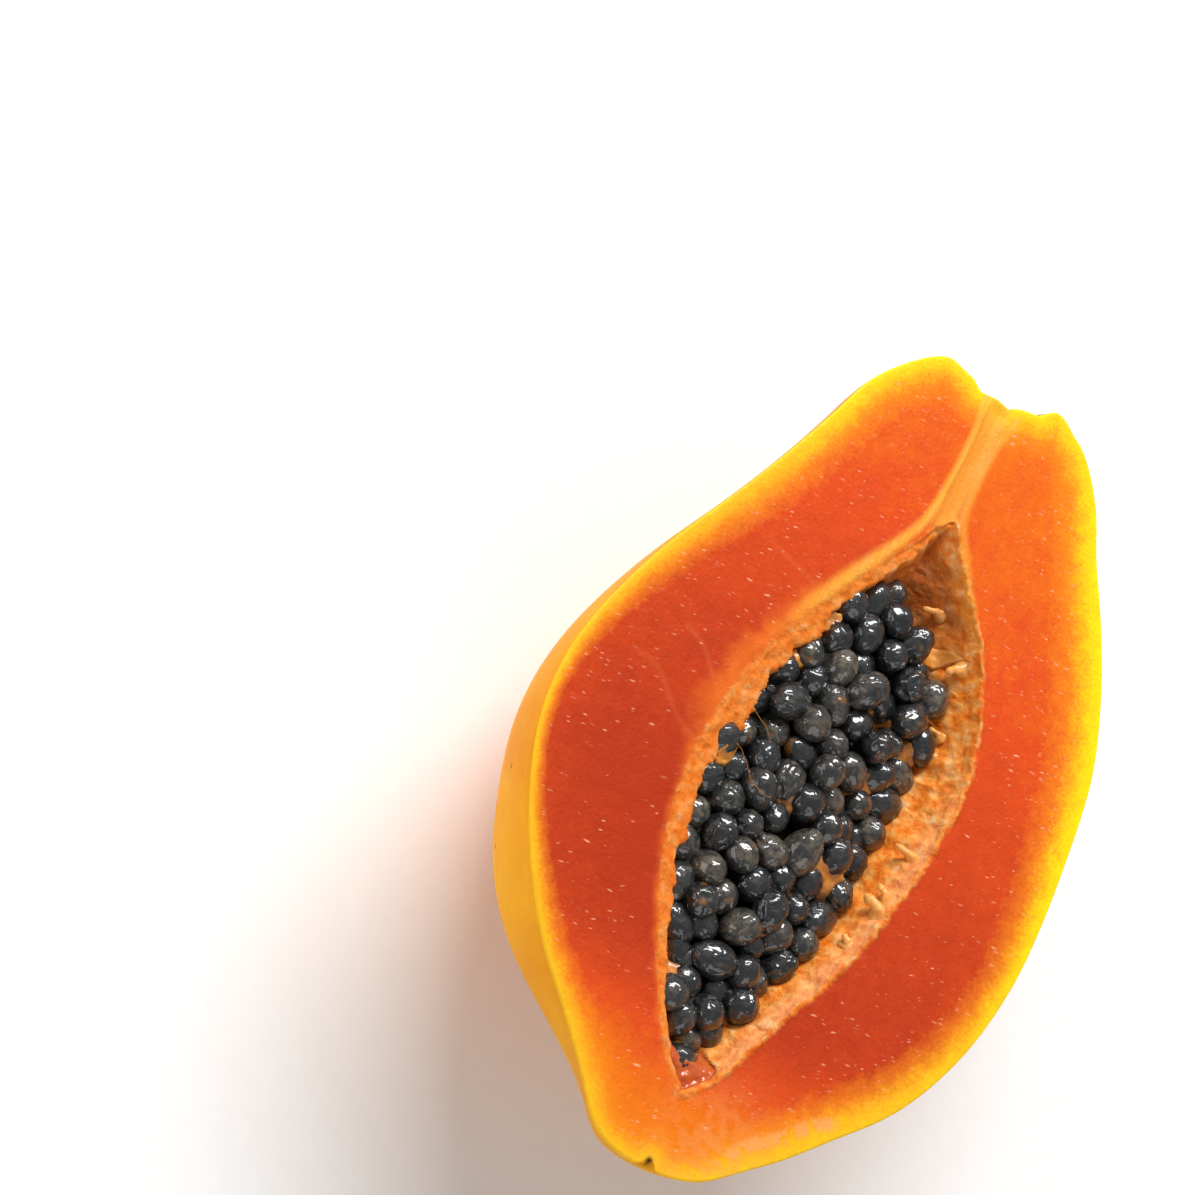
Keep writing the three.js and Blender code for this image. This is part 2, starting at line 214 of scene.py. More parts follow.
# The yellow band under the skin: its least width, and what the right side, the stem end and the
# blossom end add to it over x or y.
RIND_WIDTH = 0.8
RIND_RIGHT, RIND_RIGHT_OVER = 1.9, (0, 38)
RIND_STEM, RIND_STEM_OVER = 2.1, (42, 112)
RIND_BLOSSOM, RIND_BLOSSOM_OVER = 1.5, (0, 50)
RIND_BLOSSOM_RIGHT, RIND_BLOSSOM_RIGHT_OVER = 0.8, (0, 20)
# It turns lemon to the right over x, and at the stem end over y, less at the blossom end: partly the
# rind's own colour, partly painted light on the side where the light falls.
LEMON_OVER, LEMON_STEM, LEMON_STEM_OVER = (-6, 30), 0.7, (96, 130)
LEMON_LEAST, LEMON_ALONG = 0.2, (25, 75)

# How ripe the flesh is, with painted light in it: the flesh is painted deeper red on the left as
# painted shade, and paler to the right and towards the stem end, where the light falls. On each
# side of the cavity its most, how much it loses towards the stem end and over which y, then the
# ripest place, the blossom end and the paler flesh near the skin.
RIPE_LEFT, RIPE_LEFT_LOSS, RIPE_LEFT_OVER = 0.95, 0.8, (50, 150)
RIPE_RIGHT, RIPE_RIGHT_LOSS, RIPE_RIGHT_OVER = 0.92, 0.78, (20, 140)
RIPEST, RIPEST_PLACE, RIPEST_SPREAD = 0.2, (-21, 38), 150
RIPE_SIDES, RIPE_FROM = (-8, 8), (4, 32)
UNRIPE, UNRIPE_DEPTH = 0.32, 5

# Where the flesh softens to orange along the left lip: its width, and more of it in the middle.
MELT_WIDTH, MELT_MORE, MELT_MORE_FROM, MELT_MORE_TO = 2.2, 4.2, (48, 70), (86, 104)
MELT_RAGGED, MELT_RAGGED_SIZE = 0.3, 3.2

# Where the lining is painted darker, partly its own browner tint and partly painted shade in the
# recesses: under these heights, and in the hollow at the stem end.
DEEP_TINT_AND_SHADE, DEEP_HEIGHTS = 0.5, (-8, -15)
HOLLOW_TINT_AND_SHADE, HOLLOW_OVER, HOLLOW_HEIGHTS = 0.8, (94, 106), (-1, -4.5)

# Where the right lining is painted paler peach, partly its own paler tone and partly painted
# highlight near its lip: over x, over y and over heights under its lip.
PEACH_X, PEACH_Y, PEACH_HEIGHTS = (0, 8), (60, 90), (-5, -0.5)

# The strand's colour: its trunk, how softly that ends at its sides and past STRAND_FROM, and its
# two edges with their bands along the cavity.
STRAND_TRUNK_EDGE, STRAND_TRUNK_FROM, STRAND_HEIGHTS = (-0.8, 0.5), (1, 6), (-3, 0)
STRAND_TRUNK, STRAND_BEND, STRAND_BEND_TO = 0.55, 0.08, 125
STRAND_BAND_OVER, STRAND_BAND_WIDER, STRAND_BAND_HALF_WIDTH = (78, 96), (112, 96), (0.1, 1.4)
# Fibres along the strand: share of their height, waves across, and their sway along the fruit.
FIBRE_WAVES = [(1, 7.5, 1.5, 0.35), (0.6, 13, 2, 0.2)]
FIBRES_FROM, CHANNEL_FROM, CHANNEL_RIM = (104, 112), (-2, 4), (0, 2)

# Where the relief of the face starts inside the skin, where it gives way to the lining's round the
# lip, where the left side starts, and how far the soft lip swells the face.
FACE_FROM_SKIN, LINING_ROUND_LIP = (0.4, 2.5), (-0.5, 1.8)
LEFT_SIDE, SOFT_LIP_REACH = (4, -8), (4, 0.5)

# Relief of the lining: folds, drawn out down the wall and fainter on the left by that share, and
# lumps, as a share of the folds.
FOLD_SIZE, FOLD_SQUEEZE, FOLDS_LEFT = 3, (0.4, 1, 0.4), 0.6
LUMPS, LUMP_SIZE = 0.4, 1.8
# Finer swellings of the cut face: their share of its relief, and what the soft lip adds.
SOFT_FACE, SOFT_FACE_SIZE = (0.4, 3), 1.3
DIMPLE_Y, DIMPLE_RADIUS = 0.2, (0.2, 1.0)

# More seeds in the gaps under the heap.
DEEP_SEED_COUNT, DEEP_SEED_SINK = 64, 4.4
SEED_FINENESS, DEEP_SEED_FINENESS = 4, 3

# The form of a seed: how much blunter it is at one end, how long it is for its width, and how far
# its swellings stand out. A share of the seeds has dried and is wrinkled, the others nearly not.
SEED_TAPER, SEED_STRETCH, SEED_LUMPS, SEED_LUMP_SIZE = 0.13, (1.05, 0.15), 0.04, 0.9
CREASE_SIZE, CREASE_SQUEEZE = 0.4, (1, 0.4, 1)
WRINKLED_SHARE, WRINKLED, NEARLY_SMOOTH = 0.2, 0.22, (0.02, 0.1)
SEED_TONE_LEAST, SEED_TONE_IN_CREASES = -0.25, 0.9

DRAW_FACTOR, DRAW_RANGE = 16807, 2147483647   # of the even draws, as in the CAD part
WOBBLE_SEED = 11

# --- Where the camera and lights stand, in the fruit's frame ------------------------------------

CAMERA_PLACE = (-192.2, -83.4, 377.2)
CAMERA_AIM = (-48.6, 68.6, 0)
CAMERA_ROLL = 74.9                        # in degrees
CAMERA_LENS, SENSOR = 86.38, 36
LAMP_DISTANCE = 1.2                       # in metres, as the lamps' sizes are
KEY_WAY, KEY_SIZE = (-0.2, 0.7, 0.69), (1.0, 0.34)
FILL_WAY, FILL_SIZE = (-0.9, -0.4, 0.22), (1.2, 0.6)
LOW_WAY, LOW_SIZE = (0.44, -0.8, 0.4), (1.0, 0.8)

# --- Numbers and curves -------------------------------------------------------------------------


def linear(code):
    """Linear colour of an sRGB hex code such as '#ffb92a'."""
    parts = [int(code[i:i + 2], 16) / 255 for i in (1, 3, 5)]
    return tuple(c / 12.92 if c <= 0.04045 else ((c + 0.055) / 1.055) ** 2.4 for c in parts)


def smooth_step(low, high, value):
    """0 at low and 1 at high, with a soft start and end between them."""
    t = np.clip((np.asarray(value, float) - low) / (high - low), 0, 1)
    return t * t * (3 - 2 * t)


def curve_at(knots, x):
    """Height at x of the smooth curve through knots, each (x, height)."""
    xs, hs = np.array(knots, float).T
    last = len(xs) - 1
    i = np.clip(np.searchsorted(xs, x, side="left") - 1, 0, last - 1)
    before, after = np.maximum(np.arange(last + 1) - 1, 0), np.minimum(np.arange(last + 1) + 1, last)
    slopes = (hs[after] - hs[before]) / (xs[after] - xs[before])
    span = xs[i + 1] - xs[i]
    bend = hs[i + 1] - hs[i]
    t = (x - xs[i]) / span
    a = slopes[i] * span - bend
    b = bend - slopes[i + 1] * span
    return hs[i] + t * bend + t * (1 - t) * (a * (1 - t) + b * t)


def outline_curve(points, steps):
    """Centripetal Catmull-Rom curve through 2-D points, with `steps` pieces between each two."""
    p = [np.array(q, float) for q in points]
    p = [2 * p[0] - p[1]] + p + [2 * p[-1] - p[-2]]
    curve = []
    for p0, p1, p2, p3 in zip(p, p[1:], p[2:], p[3:]):
        d0, d1, d2 = (np.linalg.norm(b - a) ** 0.5 for a, b in ((p0, p1), (p1, p2), (p2, p3)))
        out = d1 * ((p1 - p0) / d0 - (p2 - p0) / (d0 + d1) + (p2 - p1) / d1)
        into = d1 * ((p2 - p1) / d1 - (p3 - p1) / (d1 + d2) + (p3 - p2) / d2)
        for t in np.arange(steps) / steps:
            square, cube = t * t, t ** 3
            curve.append(
                (2 * cube - 3 * square + 1) * p1 + (cube - 2 * square + t) * out
                + (3 * square - 2 * cube) * p2 + (cube - square) * into)
    curve.append(p[-2])
    return np.array(curve)


def spread_evenly(curve, count, crowding=0.0):
    """`count` + 1 points along a curve, evenly spaced, or closer together towards its ends."""
    along = np.concatenate([[0], np.cumsum(np.linalg.norm(np.diff(curve, axis=0), axis=1))])
    u = np.linspace(0, 1, count + 1)
    u = u - crowding * np.sin(2 * math.pi * u) / (2 * math.pi)
    return np.stack([np.interp(u * along[-1], along, axis) for axis in curve.T], axis=-1)


def wobble(points, size, octaves=3, start=0):
    """Vectors of smooth noise, about -1 to 1, with swellings `size` mm across."""
    noise.seed_set(WOBBLE_SEED)  # without it, the clock shifts vector noise from run to run
    shift = Vector((start, 0.37 * start, 0.71 * start))
    return np.array([
        noise.turbulence_vector(Vector(p) / size + shift, octaves, False, amplitude_scale=0.5)
        for p in points.reshape(-1, 3)]).reshape(points.shape)


def bumps(points, size, octaves=3, start=0):
    """Smooth noise, about -1 to 1, with swellings `size` mm across."""
    shift = Vector((start, 0.37 * start, 0.71 * start))
    return np.array([
        noise.turbulence(Vector(p) / size + shift, octaves, False, amplitude_scale=0.5)
        for p in points.reshape(-1, 3)]).reshape(points.shape[:-1])


class Draws:
    """Even draws from 0 to 1, the same ones in every run."""

    def __init__(self, start):
        self.state = start

    def __call__(self, low=0.0, high=1.0):
        self.state = self.state * DRAW_FACTOR % DRAW_RANGE
        return low + (high - low) * self.state / DRAW_RANGE


# --- The fruit's surfaces -----------------------------------------------------------------------


def cavity_half_width(y):
    """Half the cavity's width in the cut face."""
    return np.maximum(curve_at(CAVITY_OUTLINE, y), 0)


def mid_cavity(y):
    """1 along the middle of the cavity, fading to 0 at its two tips."""
    kept_from, kept_to = CAVITY_SHIFT_KEPT
    return smooth_step(CAVITY_FROM, kept_from, y) * (1 - smooth_step(kept_to, CAVITY_TO, y))


def cavity_middle(y):
    """x of the cavity's middle, which drifts from left to right."""
    near_blossom, near_stem = CAVITY_SHIFT
    drift = smooth_step(*CAVITY_SHIFT_BLEND, y) * (near_stem - near_blossom)
    return (near_blossom + drift) * mid_cavity(y)


def cavity_depth(y):
    """Depth of the cavity under the cut face, along its middle."""
    return CAVITY_DEPTH * (cavity_half_width(y) / CAVITY_WIDEST) ** CAVITY_DEPTH_POWER


def heap_top(x, y):
    """Height of the top of the heap of seeds."""
    side = x - HEAP_RIDGE_X
    fall = np.where(side > 0, HEAP_FALL[1], HEAP_FALL[0])
    stem = HEAP_FALL_STEM * smooth_step(*HEAP_STEM_END, y)
    blossom = HEAP_FALL_BLOSSOM * (1 - smooth_step(*HEAP_BLOSSOM_END, y))
    return HEAP_TOP - fall * side * side - stem - blossom


def skin_swelling(radius, angle, y):
    """How far lobes and swellings raise the skin, as a share of its radius."""
    belly, neck = LOBE_HEIGHT
    lobes = belly + (neck - belly) * smooth_step(*LOBE_BLEND, y)
    share = lobes * smooth_step(0, LOBE_FADE_RADIUS, radius) * np.sin(5 * angle)
    for degrees, at, height, half_length in FLANK_SWELLINGS:
        turn = np.mod(np.degrees(angle) - degrees, 360)
        off = np.minimum(turn, 360 - turn) / SWELLING_HALF_ANGLE
        along = (y - at) / half_length
        share = share + height * np.exp(-off * off - along * along) / np.maximum(radius, 1)
    return share


def skin_grid(rim):
    """Points of the skin, blossom to stem by left to right, with a rim of that rounding."""
    outline = spread_evenly(outline_curve(SKIN_OUTLINE, 24), ROWS, ROW_CROWDING)
    outline[[0, -1], 0] = 0
    radius, y = outline[:, :1], outline[:, 1:]
    angle = np.linspace(math.pi, 2 * math.pi, SKIN_COLUMNS + 1)[None, :]
    x, z = radius * np.cos(angle), radius * np.sin(angle)
    swell = 1 + skin_swelling(radius, angle, y)
    sway = AXIS_SHIFT + AXIS_SWAY * np.cos(2 * math.pi * (y - SWAY_START) / SWAY_LENGTH)
    sway = sway * smooth_step(*SWAY_IN, y) * (1 - smooth_step(*SWAY_OUT, y))
    depth = 1 + DEPTH_TAPER * (y - DEPTH_TAPER_FROM)
    lean = STEM_LEAN * (1 - smooth_step(*STEM_LEAN_RADIUS, radius)) * (y > STEM_LEAN_FROM)
    z = z * swell * depth
    rest = z.min() + REST_SPOT_CUT
    drop = rim * smooth_step(0, EDGE_FADE, radius)
    z = np.maximum(-np.sqrt(z * z + drop * drop), rest)
    return np.stack(np.broadcast_arrays(x * swell + sway, y + (SKEW + lean) * x, z), axis=-1)


def lip_radius(right, left, y):
    """Rounding of the cavity's edge on its right side, and on its left in the middle."""
    soft = (left - right) * smooth_step(*SOFT_LIP_FROM, y) * (1 - smooth_step(*SOFT_LIP_TO, y))
    return right, right + soft


def wall_grid(right_lip, left_lip):
    """Points of the cavity wall, blossom to stem by left to right."""
    dense = np.linspace(CAVITY_FROM, CAVITY_TO, 400)
    edge = spread_evenly(np.stack([cavity_half_width(dense), dense], axis=-1), ROWS)
    y = edge[:, 1:]
    share = np.linspace(0, 1, WALL_COLUMNS + 1)[None, :]
    angle = math.pi * (1 + share - WALL_CROWDING * np.sin(2 * math.pi * share) / (2 * math.pi))
    across, down = np.cos(angle), np.sin(angle)
    power = np.where(across < 0, *CAVITY_WALL_POWER)
    across = np.sign(across) * np.abs(across) ** (2 / power)
    down = -np.abs(down) ** (2 / power)
    half = cavity_half_width(y)
    x = cavity_middle(y) + half * across
    z = cavity_depth(y) * down
    right, left = lip_radius(right_lip, left_lip, y)
    drop = np.where(across < 0, left, right) * smooth_step(0, EDGE_FADE, half)
    z = z - drop * np.exp(z / (2 * np.maximum(drop, 0.01)))
    z = z + torn_shelf(y, half * (1 + across), z, left)
    above = z - pool_level(y)
    z = pool_level(y) + 0.5 * (above + np.sqrt(above ** 2 + POOL_EDGE ** 2))
    return np.stack(np.broadcast_arrays(x, y + SKEW * x, z), axis=-1)


def pool_level(y):
    """Height of the juice along the fruit, under the wall beyond its end."""
    return POOL_LEVEL - POOL_FALL * smooth_step(*POOL_END, y)


def torn_shelf(y, inward, z, lip):
    """How far the left wall is raised by the ragged shelf of soft flesh at its top."""
    flat = np.concatenate([y, y * 0, y * 0], axis=1)
    coarse, fine = (
        height * bumps(flat, size, 2, start)
        for height, size, start in zip(SHELF_RAGGED, SHELF_RAGGED_SIZES, (3, 8)))
    ragged = SHELF_RAGGED_SHARE * (coarse + fine)[:, None]
    width = np.maximum(curve_at(SHELF_WIDTH, y) * (1 + ragged), 0.1)
    shelf = -lip - SHELF_SLOPE * inward
    return np.maximum(shelf - z, 0) * (1 - smooth_step(0, 1, (inward - width) / SHELF_EDGE))


def round_off(share):
    """Drop of a rounded edge, as a share of its radius, from where it starts to the edge."""
    return 1 - np.sqrt(1 - share * share)


def face_grid(outer, inner, outer_rim, inner_rim, soft):
    """Points of the cut face on one side, from the skin's edge to the cavity's, sharp or soft."""
    reach = np.linalg.norm((inner - outer)[:, :2], axis=1)[:, None]
    start = outer_rim * np.array(RIM_ROWS) / reach
    end = 1 - inner_rim * np.array(RIM_ROWS[::-1]) / reach
    middle_count = FACE_COLUMNS + 1 - 2 * len(RIM_ROWS)
    share = np.linspace(0, 1, middle_count + 2)[None, 1:-1]
    middle = start[:, -1:] + (end[:, :1] - start[:, -1:]) * share
    t = np.concatenate([start, middle, end], axis=1)
    points = outer[:, None, :] * (1 - t[..., None]) + inner[:, None, :] * t[..., None]
    from_skin, from_cavity = t * reach, (1 - t) * reach
    edge_drop = np.maximum(1 - from_skin / outer_rim, 0)
    lip_drop = np.maximum(1 - from_cavity / inner_rim, 0)
    lip_drop = lip_drop ** 2 if soft else round_off(lip_drop)
    points[..., 2] = outer[:, None, 2] * round_off(edge_drop) + inner[:, None, 2] * lip_drop
    return points


def distance_to(points, line):
    """Distance in the cut face from each point to the nearest of a line's points."""
    tree = kdtree.KDTree(len(line))
    for i, (x, y) in enumerate(line[:, :2]):
        tree.insert((x, y, 0), i)
    tree.balance()
    flat = points.reshape(-1, 3)
    found = [tree.find((x, y, 0))[2] for x, y in flat[:, :2]]
    return np.array(found).reshape(points.shape[:-1])


class Mesher:
    """Gathers grids of points that share their edges into one closed mesh."""

    def __init__(self):
        self.points, self.faces, self.slots = [], [], []

    def add_points(self, grid):
        """Adds a grid of points and returns their numbers."""
        first = sum(len(p) for p in self.points)
        flat = grid.reshape(-1, 3)
        self.points.append(flat)
        return np.arange(first, first + len(flat)).reshape(grid.shape[:-1])

    def add_quads(self, ids, slot, flip=False):
        """Adds the faces between a grid of points, with their material slot."""
        a, b, c, d = ids[:-1, :-1], ids[1:, :-1], ids[1:, 1:], ids[:-1, 1:]
        quads = np.stack([a, d, c, b] if flip else [a, b, c, d], axis=-1).reshape(-1, 4)
        self.faces.append(quads)
        self.slots.append(np.full(len(quads), slot))


def mesh_piece(name, points, faces, materials, values, slots=None):
    """A piece of the object from points in mm in the fruit's frame, shaded smooth."""
    mesh = bpy.data.meshes.new(name)
    placed = (np.asarray(points, float) + fruit_place()) * MM
    mesh.from_pydata(placed.tolist(), [], [list(f) for f in faces])
    for material in materials:
        mesh.materials.append(material)
    if slots is not None:
        mesh.polygons.foreach_set("material_index", np.asarray(slots, np.int32))
    for key, value in values.items():
        layer = mesh.attributes.new(key, "FLOAT", "POINT")
        layer.data.foreach_set("value", np.asarray(value, np.float32).ravel())
    mesh.validate()
    mesh.polygons.foreach_set("use_smooth", np.full(len(mesh.polygons), True))
    mesh.update()
    piece = bpy.data.objects.new(name, mesh)
    bpy.context.scene.collection.objects.link(piece)
    return piece


@functools.cache
def fruit_place():
    """Where the fruit's own origin lies in the CAD frame, in mm."""
    skin = skin_grid(0).reshape(-1, 3)
    low, high = (np.array(corner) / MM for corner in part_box("papaya_half"))
    middle = (low + high - skin.min(0) - skin.max(0)) / 2
    return np.array([middle[0], middle[1], high[2]])


def weld(points, faces, slots, values):
    """Merges points that coincide and drops the faces that this closes up."""
    keys = np.round(points / WELD_SIZE).astype(np.int64)
    _, first, index = np.unique(keys, axis=0, return_index=True, return_inverse=True)
    index = index.ravel()
    kept_faces, kept_slots = [], []
    for quad, slot in zip(index[faces], slots):
        corners = list(dict.fromkeys(quad.tolist()))
        if len(corners) > 2:
            kept_faces.append(corners)
            kept_slots.append(slot)
    return points[first], kept_faces, kept_slots, {k: v[first] for k, v in values.items()}


def fruit_mesh(settings):
    """The closed surface of the half: skin, cut face and cavity wall, with what its finish needs."""
    rim, right_lip, left_lip = (
        size / MM for size in (settings.rim_rounding, settings.right_lip, settings.left_lip))
    skin, wall = skin_grid(rim), wall_grid(right_lip, left_lip)
    mesher = Mesher()
    skin_ids, wall_ids = mesher.add_points(skin), mesher.add_points(wall)
    mesher.add_quads(skin_ids, 0)
    mesher.add_quads(wall_ids, 1, flip=True)
    seams, sides = [], []
    for column, side in ((0, 1), (-1, 0)):
        lip = lip_radius(right_lip, left_lip, wall[:, column, 1:2])[side]
        width = lip * (1 + (SOFT_LIP_WIDTH - 1) * side * mid_cavity(wall[:, column, 1:2]))
        ids = mesher.add_points(face_grid(skin[:, column], wall[:, column], rim, width, side == 1))
        mesher.add_quads(ids, 1, flip=side == 1)
        seams += [(ids[:, 0], skin_ids[:, column]), (ids[:, -1], wall_ids[:, column])]
        sides.append(ids)
    seams += [(sides[1][row], sides[0][row]) for row in (0, -1)]  # past both tips of the cavity
    points = np.concatenate(mesher.points)
    faces, slots = np.concatenate(mesher.faces), np.concatenate(mesher.slots)

    number = np.arange(len(points))
    on_skin = number < skin_ids.size
    on_wall = ~on_skin & (number < skin_ids.size + wall_ids.size)
    on_face = ~(on_skin | on_wall)
    skin_edge = np.concatenate([skin[:, 0], skin[:, -1]])
    lip_edge = np.concatenate([wall[:, 0], wall[:, -1]])
    from_skin, from_lip = np.zeros(len(points)), np.zeros(len(points))
    from_skin[~on_skin] = distance_to(points[~on_skin], skin_edge)
    from_lip[on_face] = distance_to(points[on_face], lip_edge)
    lips = np.where(np.arange(wall.shape[1]) < wall.shape[1] // 2, wall[:, :1, 2], wall[:, -1:, 2])
    from_lip[on_wall] = np.minimum(wall[..., 2] - lips, 0).ravel()
    from_lip[on_skin] = CAVITY_WIDEST
    values = surface_values(points, on_skin, on_face, on_wall, from_skin, from_lip)
    relief(points, on_skin, from_skin, from_lip, values, settings)
    for copies, originals in seams:
        points[copies] = points[originals]
    return weld(points, faces, slots, values)


def surface_values(points, on_skin, on_face, on_wall, from_skin, from_lip):
    """Where each finish lies on the surface, by the name that the materials read it by."""
    x, y, z = points.T
    values = {"rind": from_skin / rind_width(x, y), "lining": from_lip}
    values["ripe"] = ripeness(x, y, from_skin)
    values["lemon"] = lemon_and_lit_share(x, y)
    values["deep"] = deep_tint_and_shade(y, z)
    values["melt"] = melt(points, from_lip)
    values["strand"] = strand_share(points) * ~on_skin * smooth_step(*STRAND_HEIGHTS, z)
    values["vein"] = vein_share(points) * on_face
    # Painted glare: pale colour along the streak near the blossom end and round the thinner juice.
    painted_glare = distance_to(points, spread_evenly(outline_curve(GLARE_PATH, 8), 80))
    thin_juice_glare = WET_FILM_GLARE * near_place(x, y, WET_FILM_PLACE, WET_FILM_SPREAD)
    glare_share = 1 - smooth_step(*GLARE_HALF_WIDTH, painted_glare)
    values["painted_glare"] = np.maximum(glare_share, thin_juice_glare) * on_face
    values["scar"] = np.where(on_skin & (y > CAVITY_TO), np.hypot(x, z), CAVITY_WIDEST)
    from_dimple = np.hypot(x, y - DIMPLE_Y) + 0.1 * np.abs(z)
    values["dimple"] = 1 - smooth_step(*DIMPLE_RADIUS, from_dimple)
    blossom_side = smooth_step(*PEACH_X, x) * (1 - smooth_step(*PEACH_Y, y))
    values["peach_and_highlight"] = smooth_step(*PEACH_HEIGHTS, from_lip) * blossom_side * on_wall
    over_juice = z - pool_level(y - SKEW * x)
    values["pool"] = smooth_step(*POOL_SHORE, over_juice) * on_wall
    return values


def near_place(x, y, place, spread):
    """1 at a place in the cut face, fading to 0 round it; spread is in square mm."""
    return np.exp(-((x - place[0]) ** 2 + (y - place[1]) ** 2) / spread)


def rind_width(x, y):
    """Width of the yellow band under the skin: wider on the right and at both ends."""
    right = RIND_RIGHT * smooth_step(*RIND_RIGHT_OVER, x)
    stem = RIND_STEM * smooth_step(*RIND_STEM_OVER, y)
    blossom = RIND_BLOSSOM + RIND_BLOSSOM_RIGHT * smooth_step(*RIND_BLOSSOM_RIGHT_OVER, x)
    return RIND_WIDTH + right + stem + blossom * (1 - smooth_step(*RIND_BLOSSOM_OVER, y))


def lemon_and_lit_share(x, y):
    """From 0, where the rim is orange-yellow, to 1, where it is lemon: partly the rind's colour,
    partly painted light on its lit side.
    """
    lemon = np.maximum(smooth_step(*LEMON_OVER, x), LEMON_STEM * smooth_step(*LEMON_STEM_OVER, y))
    return lemon * (LEMON_LEAST + (1 - LEMON_LEAST) * smooth_step(*LEMON_ALONG, y))


def ripeness(x, y, from_skin):
    """From 0, orange flesh, to 1, the deepest red, which lies left of the cavity: partly the flesh's
    own ripeness, partly painted shade on the left and painted light to the right and at the stem end.
    """
    left = RIPE_LEFT - RIPE_LEFT_LOSS * smooth_step(*RIPE_LEFT_OVER, y)
    left = left + RIPEST * near_place(x, y, RIPEST_PLACE, RIPEST_SPREAD)
    right = RIPE_RIGHT - RIPE_RIGHT_LOSS * smooth_step(*RIPE_RIGHT_OVER, y)
    side = smooth_step(*RIPE_SIDES, x)
    ripe = np.clip(left + (right - left) * side, 0, 1) * smooth_step(*RIPE_FROM, y)
    return ripe - UNRIPE * np.exp(-from_skin / UNRIPE_DEPTH)


def deep_tint_and_shade(y, z):
    """How dark the lining is painted, its browner tint with painted shade: deep inside, and most in
    the hollow at the stem end.
    """
    hollow = HOLLOW_TINT_AND_SHADE * smooth_step(*HOLLOW_OVER, y) * smooth_step(*HOLLOW_HEIGHTS, z)
    return np.maximum(DEEP_TINT_AND_SHADE * smooth_step(*DEEP_HEIGHTS, z), hollow)


def melt(points, from_lip):
    """1 where the flesh softens to orange along the left lip of the cavity, fading into the flesh."""
    x, y = points[:, 0], points[:, 1]
    more = MELT_MORE * smooth_step(*MELT_MORE_FROM, y) * (1 - smooth_step(*MELT_MORE_TO, y))
    flat = points * np.array([1, 1, 0])
    ragged = MELT_RAGGED * bumps(flat, MELT_RAGGED_SIZE, start=17)
    share = from_lip / (MELT_WIDTH + more)
    return smooth_step(5, -5, x) * (1 - smooth_step(0, 1, share + ragged))


def strand_share(points):
    """1 on the pale strand's edges and their bands along the cavity, less on the strand between."""
    x, y = points[:, 0], points[:, 1]
    middle = STRAND_MIDDLE + STRAND_BEND * (y - STRAND_BEND_TO) * (y < STRAND_BEND_TO)
    inner, outer = (STRAND_WIDTH / 2 + edge for edge in STRAND_TRUNK_EDGE)
    trunk = STRAND_TRUNK * (1 - smooth_step(inner, outer, np.abs(x - middle)))
    start, full = (STRAND_FROM + along for along in STRAND_TRUNK_FROM)
    share = trunk * smooth_step(start, full, y)
    for edge, strength in STRAND_EDGES:
        line = spread_evenly(outline_curve(edge, 8), 160)
        away = distance_to(points, line) / (1 + 0.5 * smooth_step(*STRAND_BAND_WIDER, y))
        band = strength * (1 - smooth_step(*STRAND_BAND_HALF_WIDTH, away))
        share = np.maximum(share, band * smooth_step(*STRAND_BAND_OVER, y))
    return share


def vein_share(points):
    """1 on the veins in the flesh, fading to 0 beside them."""
    share = np.zeros(len(points))
    for vein in VEINS:
        line = spread_evenly(outline_curve(vein, 8), 60)
        near = np.exp(-(distance_to(points, line) / VEIN_HALF_WIDTH) ** 2)
        share = np.maximum(share, near)
    return share


def relief(points, on_skin, from_skin, from_lip, values, settings):
    """Shapes the cut face, its strand and the fibrous lining, away from the skin's edge."""
    x, y = points[:, 0], points[:, 1]
    inside = ~on_skin
    away = smooth_step(*FACE_FROM_SKIN, from_skin) * inside
    lining = (1 - smooth_step(*LINING_ROUND_LIP, from_lip)) * inside
    left = smooth_step(*LEFT_SIDE, x)

    channel = np.clip(1 - ((x - STRAND_MIDDLE) / (STRAND_WIDTH / 2)) ** 2, 0, 1) * inside
    start, full = (STRAND_FROM + along for along in CHANNEL_FROM)
    channel = channel * smooth_step(start, full, y)
    points[:, 2] -= STRAND_DEPTH * channel * smooth_step(*CHANNEL_RIM, from_skin)
    fibre = sum(
        share * np.sin(x * across + sway * np.sin(y * along))
        for share, across, sway, along in FIBRE_WAVES)
    fibrous = values["strand"] * away * smooth_step(*FIBRES_FROM, y)
    points[:, 2] += STRAND_FIBRES * fibre * fibrous

    work = np.flatnonzero(inside)
    part = points[work]
    soft = (smooth_step(*SOFT_LIP_REACH, from_lip) * left)[work]
    fine, at_lip = SOFT_FACE
    finer = (fine + at_lip * soft) * bumps(part, SOFT_FACE_SIZE, start=5)
    swell = bumps(part, FACE_RELIEF_SIZE) + finer
    points[work, 2] += FACE_RELIEF * swell * (away * (1 - lining))[work]

    folds = wobble(part * np.array(FOLD_SQUEEZE), FOLD_SIZE, start=11)
    lumps = wobble(part, LUMP_SIZE, 2, start=37)
    height = settings.lining_relief / MM
    side, pool = left[work, None], values["pool"][work]
    dry = (lining[work] * (1 - pool))[:, None]
    points[work] += height * dry * ((1 - FOLDS_LEFT * side) * folds + LUMPS * lumps)
    points[work, 2] += POOL_RIPPLE * bumps(part, POOL_RIPPLE_SIZE, 2, start=61) * pool


# --- Materials ----------------------------------------------------------------------------------

# Where a Mix node of colours has its share, its two colours and its result.
MIX_SHARE, MIX_UNDER, MIX_OVER, MIX_RESULT = 0, 6, 7, 2

